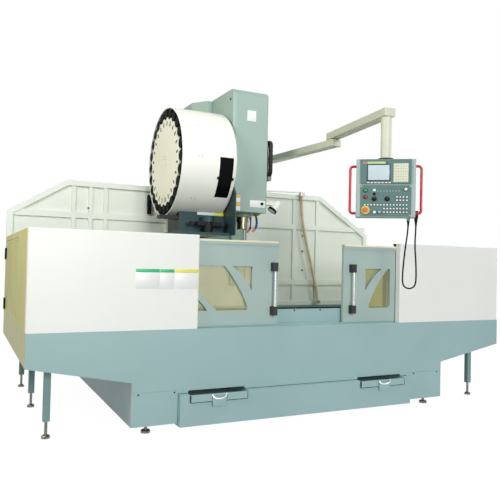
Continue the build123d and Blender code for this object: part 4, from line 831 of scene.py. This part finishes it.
fit(face_keys("keypad_keys", 0.0150, 0.0165, 0.0038, display_face,
              [(0.0705 + pad_across * i, 1.9765 + pad_up * j)
               for i in range(6) for j in range(7)]),
    key_cream, "pendant")
key_white = enamel("key_white", shade(238, 242, 238), roughness=0.4, drift=0.03, peel=0.03)
fit(face_keys("soft_keys", 0.0190, 0.0095, 0.0030, display_face,
              [(-0.143 + soft_key_pitch * i, 1.9600) for i in range(7)]),
    key_white, "pendant")
small_places = [(a, z) for a in (0.092, 0.118, 0.143, 0.171) for z in (1.842, 1.815)]
small_places += [(-0.169 + key_pitch * i, 1.7765) for i in range(14)]
small_places += [(-0.0115 + key_pitch * i, z) for i in range(8) for z in (1.746, 1.716)]
fit(face_keys("key_beds", 0.0205, 0.0195, 0.0012, operator_face, small_places), screen_frame,
    "pendant")
fit(face_keys("panel_keys", 0.0135, 0.0125, 0.0040, operator_face, small_places), key_white,
    "pendant")
fit(face_turned("panel_lights", [(-0.063 + light_pitch * i, 1.8915) for i in range(8)],
                operator_face, [(0.0034, -0.001), (0.0034, 0.0015), (0.0022, 0.0026)], sides=12),
    key_white, "pendant")
start, halt, blue = (-0.165, 1.896), (-0.165, 1.842), (-0.049, 1.717)
whites = [(0.160, 1.905), (-0.090, 1.715)]
fit(face_turned("button_collars", [start, halt, *whites, blue], operator_face,
                [(0.0168, -0.001), (0.0168, 0.003), (0.0152, 0.0046)]),
    dark_plastic, "pendant")
button_rings = [(0.0130, 0.002), (0.0130, 0.0145), (0.0112, 0.0168), (0.0070, 0.0178)]
for name, colour, places in (("start_button", (58, 158, 92), [start]),
                             ("halt_button", (196, 40, 36), [halt]),
                             ("white_buttons", (240, 242, 240), whites),
                             ("blue_button", (150, 188, 214), [blue])):
    plastic = enamel(name + "_plastic", shade(*colour), roughness=0.28, drift=0.05, peel=0.02,
                     gloss=0.5)
    fit(face_turned(name, places, operator_face, button_rings), plastic, "pendant")
left_dial, right_dial, dial_height, mark_height = -0.092, 0.012, 1.826, 1.834
fit(face_turned("dial_knobs", [(left_dial, dial_height), (right_dial, dial_height)], operator_face,
                [(0.0205, -0.001), (0.0205, 0.0025), (0.0175, 0.0040), (0.0160, 0.0165),
                 (0.0135, 0.0182)]),
    dark_plastic, "pendant")
fit(face_keys("dial_marks", 0.0022, 0.0110, 0.0190, operator_face,
              [(left_dial, mark_height), (right_dial, mark_height)]),
    key_white, "pendant")
fit(face_turned("key_switch", [(left_dial, 1.866)], operator_face,
                [(0.0120, -0.001), (0.0120, 0.004), (0.0090, 0.0070)], sides=20),
    dark_plastic, "pendant")
fit(face_plate("pale_key", -0.104, -0.080, 1.889, 1.909, operator_face, 0.004), key_white,
    "pendant")
fit(face_turned("stop_collar", [(-0.163, 1.733)], operator_face,
                [(0.0346, -0.001), (0.0346, 0.0064), (0.0325, 0.0080)], sides=40),
    enamel("collar_yellow", shade(234, 210, 104), roughness=0.35, drift=0.04, peel=0.03,
           gloss=0.5),
    "pendant")
fit(on_pendant(turned("swivel_ring", (0, 0, 2.1580), (0, 0, 1),
                      [(0.0672, -0.0005), (0.0672, 0.0120), (0.0640, 0.0146),
                       (0.0470, 0.0146)], sides=40)),
    dark_plastic, "pendant")
face_corners = [(side * 0.196, z) for side in (-1, 1) for z in (1.692, 1.930, 1.962, 2.140)]
fit(face_turned("face_screws", face_corners, operator_face,
                [(0.0052, -0.001), (0.0052, 0.0020), (0.0040, 0.0030)], sides=12),
    zinc, "pendant")

# Work lamp: a white round can with a black rim and a pale glass at its mouth. The coolant
# hoses beside the spindle are blue ball-and-socket links with orange nozzles.
lamp_tilt = radians(38)
lamp_way = Vector((-sin(lamp_tilt), 0, -cos(lamp_tilt)))
lamp_mouth = Vector((0.313, skirt_y + 1.190, 1.862)) + lamp_way * 0.0600
lamp_rim = turned("lamp_rim", lamp_mouth, lamp_way,
                  [(0.0475, -0.020), (0.0495, -0.018), (0.0495, 0.0015), (0.0470, 0.0030),
                   (0.0405, 0.0030), (0.0400, 0.0005)], sides=40)
fit(lamp_rim, dark_plastic, "head_slide")
lamp_glass = turned("lamp_glass", lamp_mouth, lamp_way,
                    [(0.0400, 0.0000), (0.0395, 0.0016), (0.0200, 0.0042),
                     (0.0060, 0.0050)], sides=40)
lamp_pane = enamel("lamp_pane", shade(206, 222, 220), roughness=0.12, drift=0.1, peel=0.0,
                   gloss=0.6)
fit(lamp_glass, lamp_pane, "head_slide")
paint_nodes(panel_enamel, "work_lamp")

link_blue = rubber("link_blue", shade(24, 84, 136), roughness=0.36, grain=200)
nozzle_orange = rubber("nozzle_orange", shade(226, 134, 72), roughness=0.4, grain=200)
pipe_x, pipe_y, pipe_half = 0.1220, skirt_y + 1.310, 0.066
pipe_bows = ((-0.006, 1.772), (-0.001, 1.755), (0.004, 1.738), (0.008, 1.721), (0.010, 1.704),
             (0.011, 1.687), (0.010, 1.670), (0.006, 1.653), (0.000, 1.637), (-0.008, 1.622))
link_rings = [(0.0080, 0), (0.0125, 0.003), (0.0132, 0.009), (0.0105, 0.0135), (0.0086, 0.018)]
nozzle_rings = [(0.0132, -0.002), (0.0140, 0.006), (0.0120, 0.014), (0.0085, 0.040),
                (0.0060, 0.041)]
nozzle_way = Vector((-0.62, 0, -0.78))
links, nozzles = [], []
for row in (-pipe_half, pipe_half):
    spots = [Vector((pipe_x + bow, pipe_y + row, z)) for bow, z in pipe_bows]
    for spot, after in zip(spots, spots[1:]):
        links.append(turned("coolant_links", spot, after - spot, link_rings, sides=14))
    nozzles.append(turned("coolant_nozzles", spots[-1], nozzle_way, nozzle_rings, sides=16))
coolant_links = fit(fused("coolant_links", links), link_blue, "head_slide")
fit(fused("coolant_nozzles", nozzles), nozzle_orange, "head_slide")
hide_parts("coolant_pipes")
hose_block = block("hose_block", (0.085, skirt_y + 1.225, 1.764), (0.155, skirt_y + 1.395, 1.781),
                   0.003)
fit(hose_block, nozzle_orange, "head_slide")
air_pipe = turned("air_pipe", (0.070, skirt_y + 1.235, 1.781), (0, 0, -1),
                  [(0.0090, 0), (0.0090, 0.012), (0.0065, 0.014), (0.0065, 0.140),
                   (0.0050, 0.146)], sides=16)
fit(air_pipe, plate_white, "head_slide")

# Cable chain: black plastic links round the loop, on a grey bracket of folded sheet.
bracket_level, bracket_reach = 3.0, 0.786
chain_plastic = banded(rubber("chain_plastic", (0.010, 0.011, 0.011, 1), roughness=0.5, grain=240),
                       "Z", bracket_level, bracket_reach, shade(150, 158, 148))
paint_nodes(chain_plastic, "cable_chain")
rib = block("chain_ribs", (-0.021, -0.0035, -0.0155), (0.021, 0.0035, 0.0155), 0.0015)
loop_middle = Vector((0.386, skirt_y + 1.500, 2.410))
straight, bend, rib_step = 0.135, 0.052, 0.04
loop_places = [Matrix.Translation(loop_middle + Vector((0, side * bend, rib_step * k)))
               @ Matrix.Rotation(pi / 2, 4, "X") for side in (-1, 1) for k in range(-3, 4)]
for end in (-1, 1):
    for turn in (radians(angle) for angle in (20, 55, 90, 125, 160)):
        spot = Vector((0, bend * cos(turn), end * (straight + bend * sin(turn))))
        tilt = end * turn - pi / 2 + (pi if end < 0 else 0)
        loop_places.append(Matrix.Translation(loop_middle + spot) @ Matrix.Rotation(tilt, 4, "X"))
chain_ribs = repeat(rib, loop_places)
fit(chain_ribs, dark_plastic, "machine_frame")
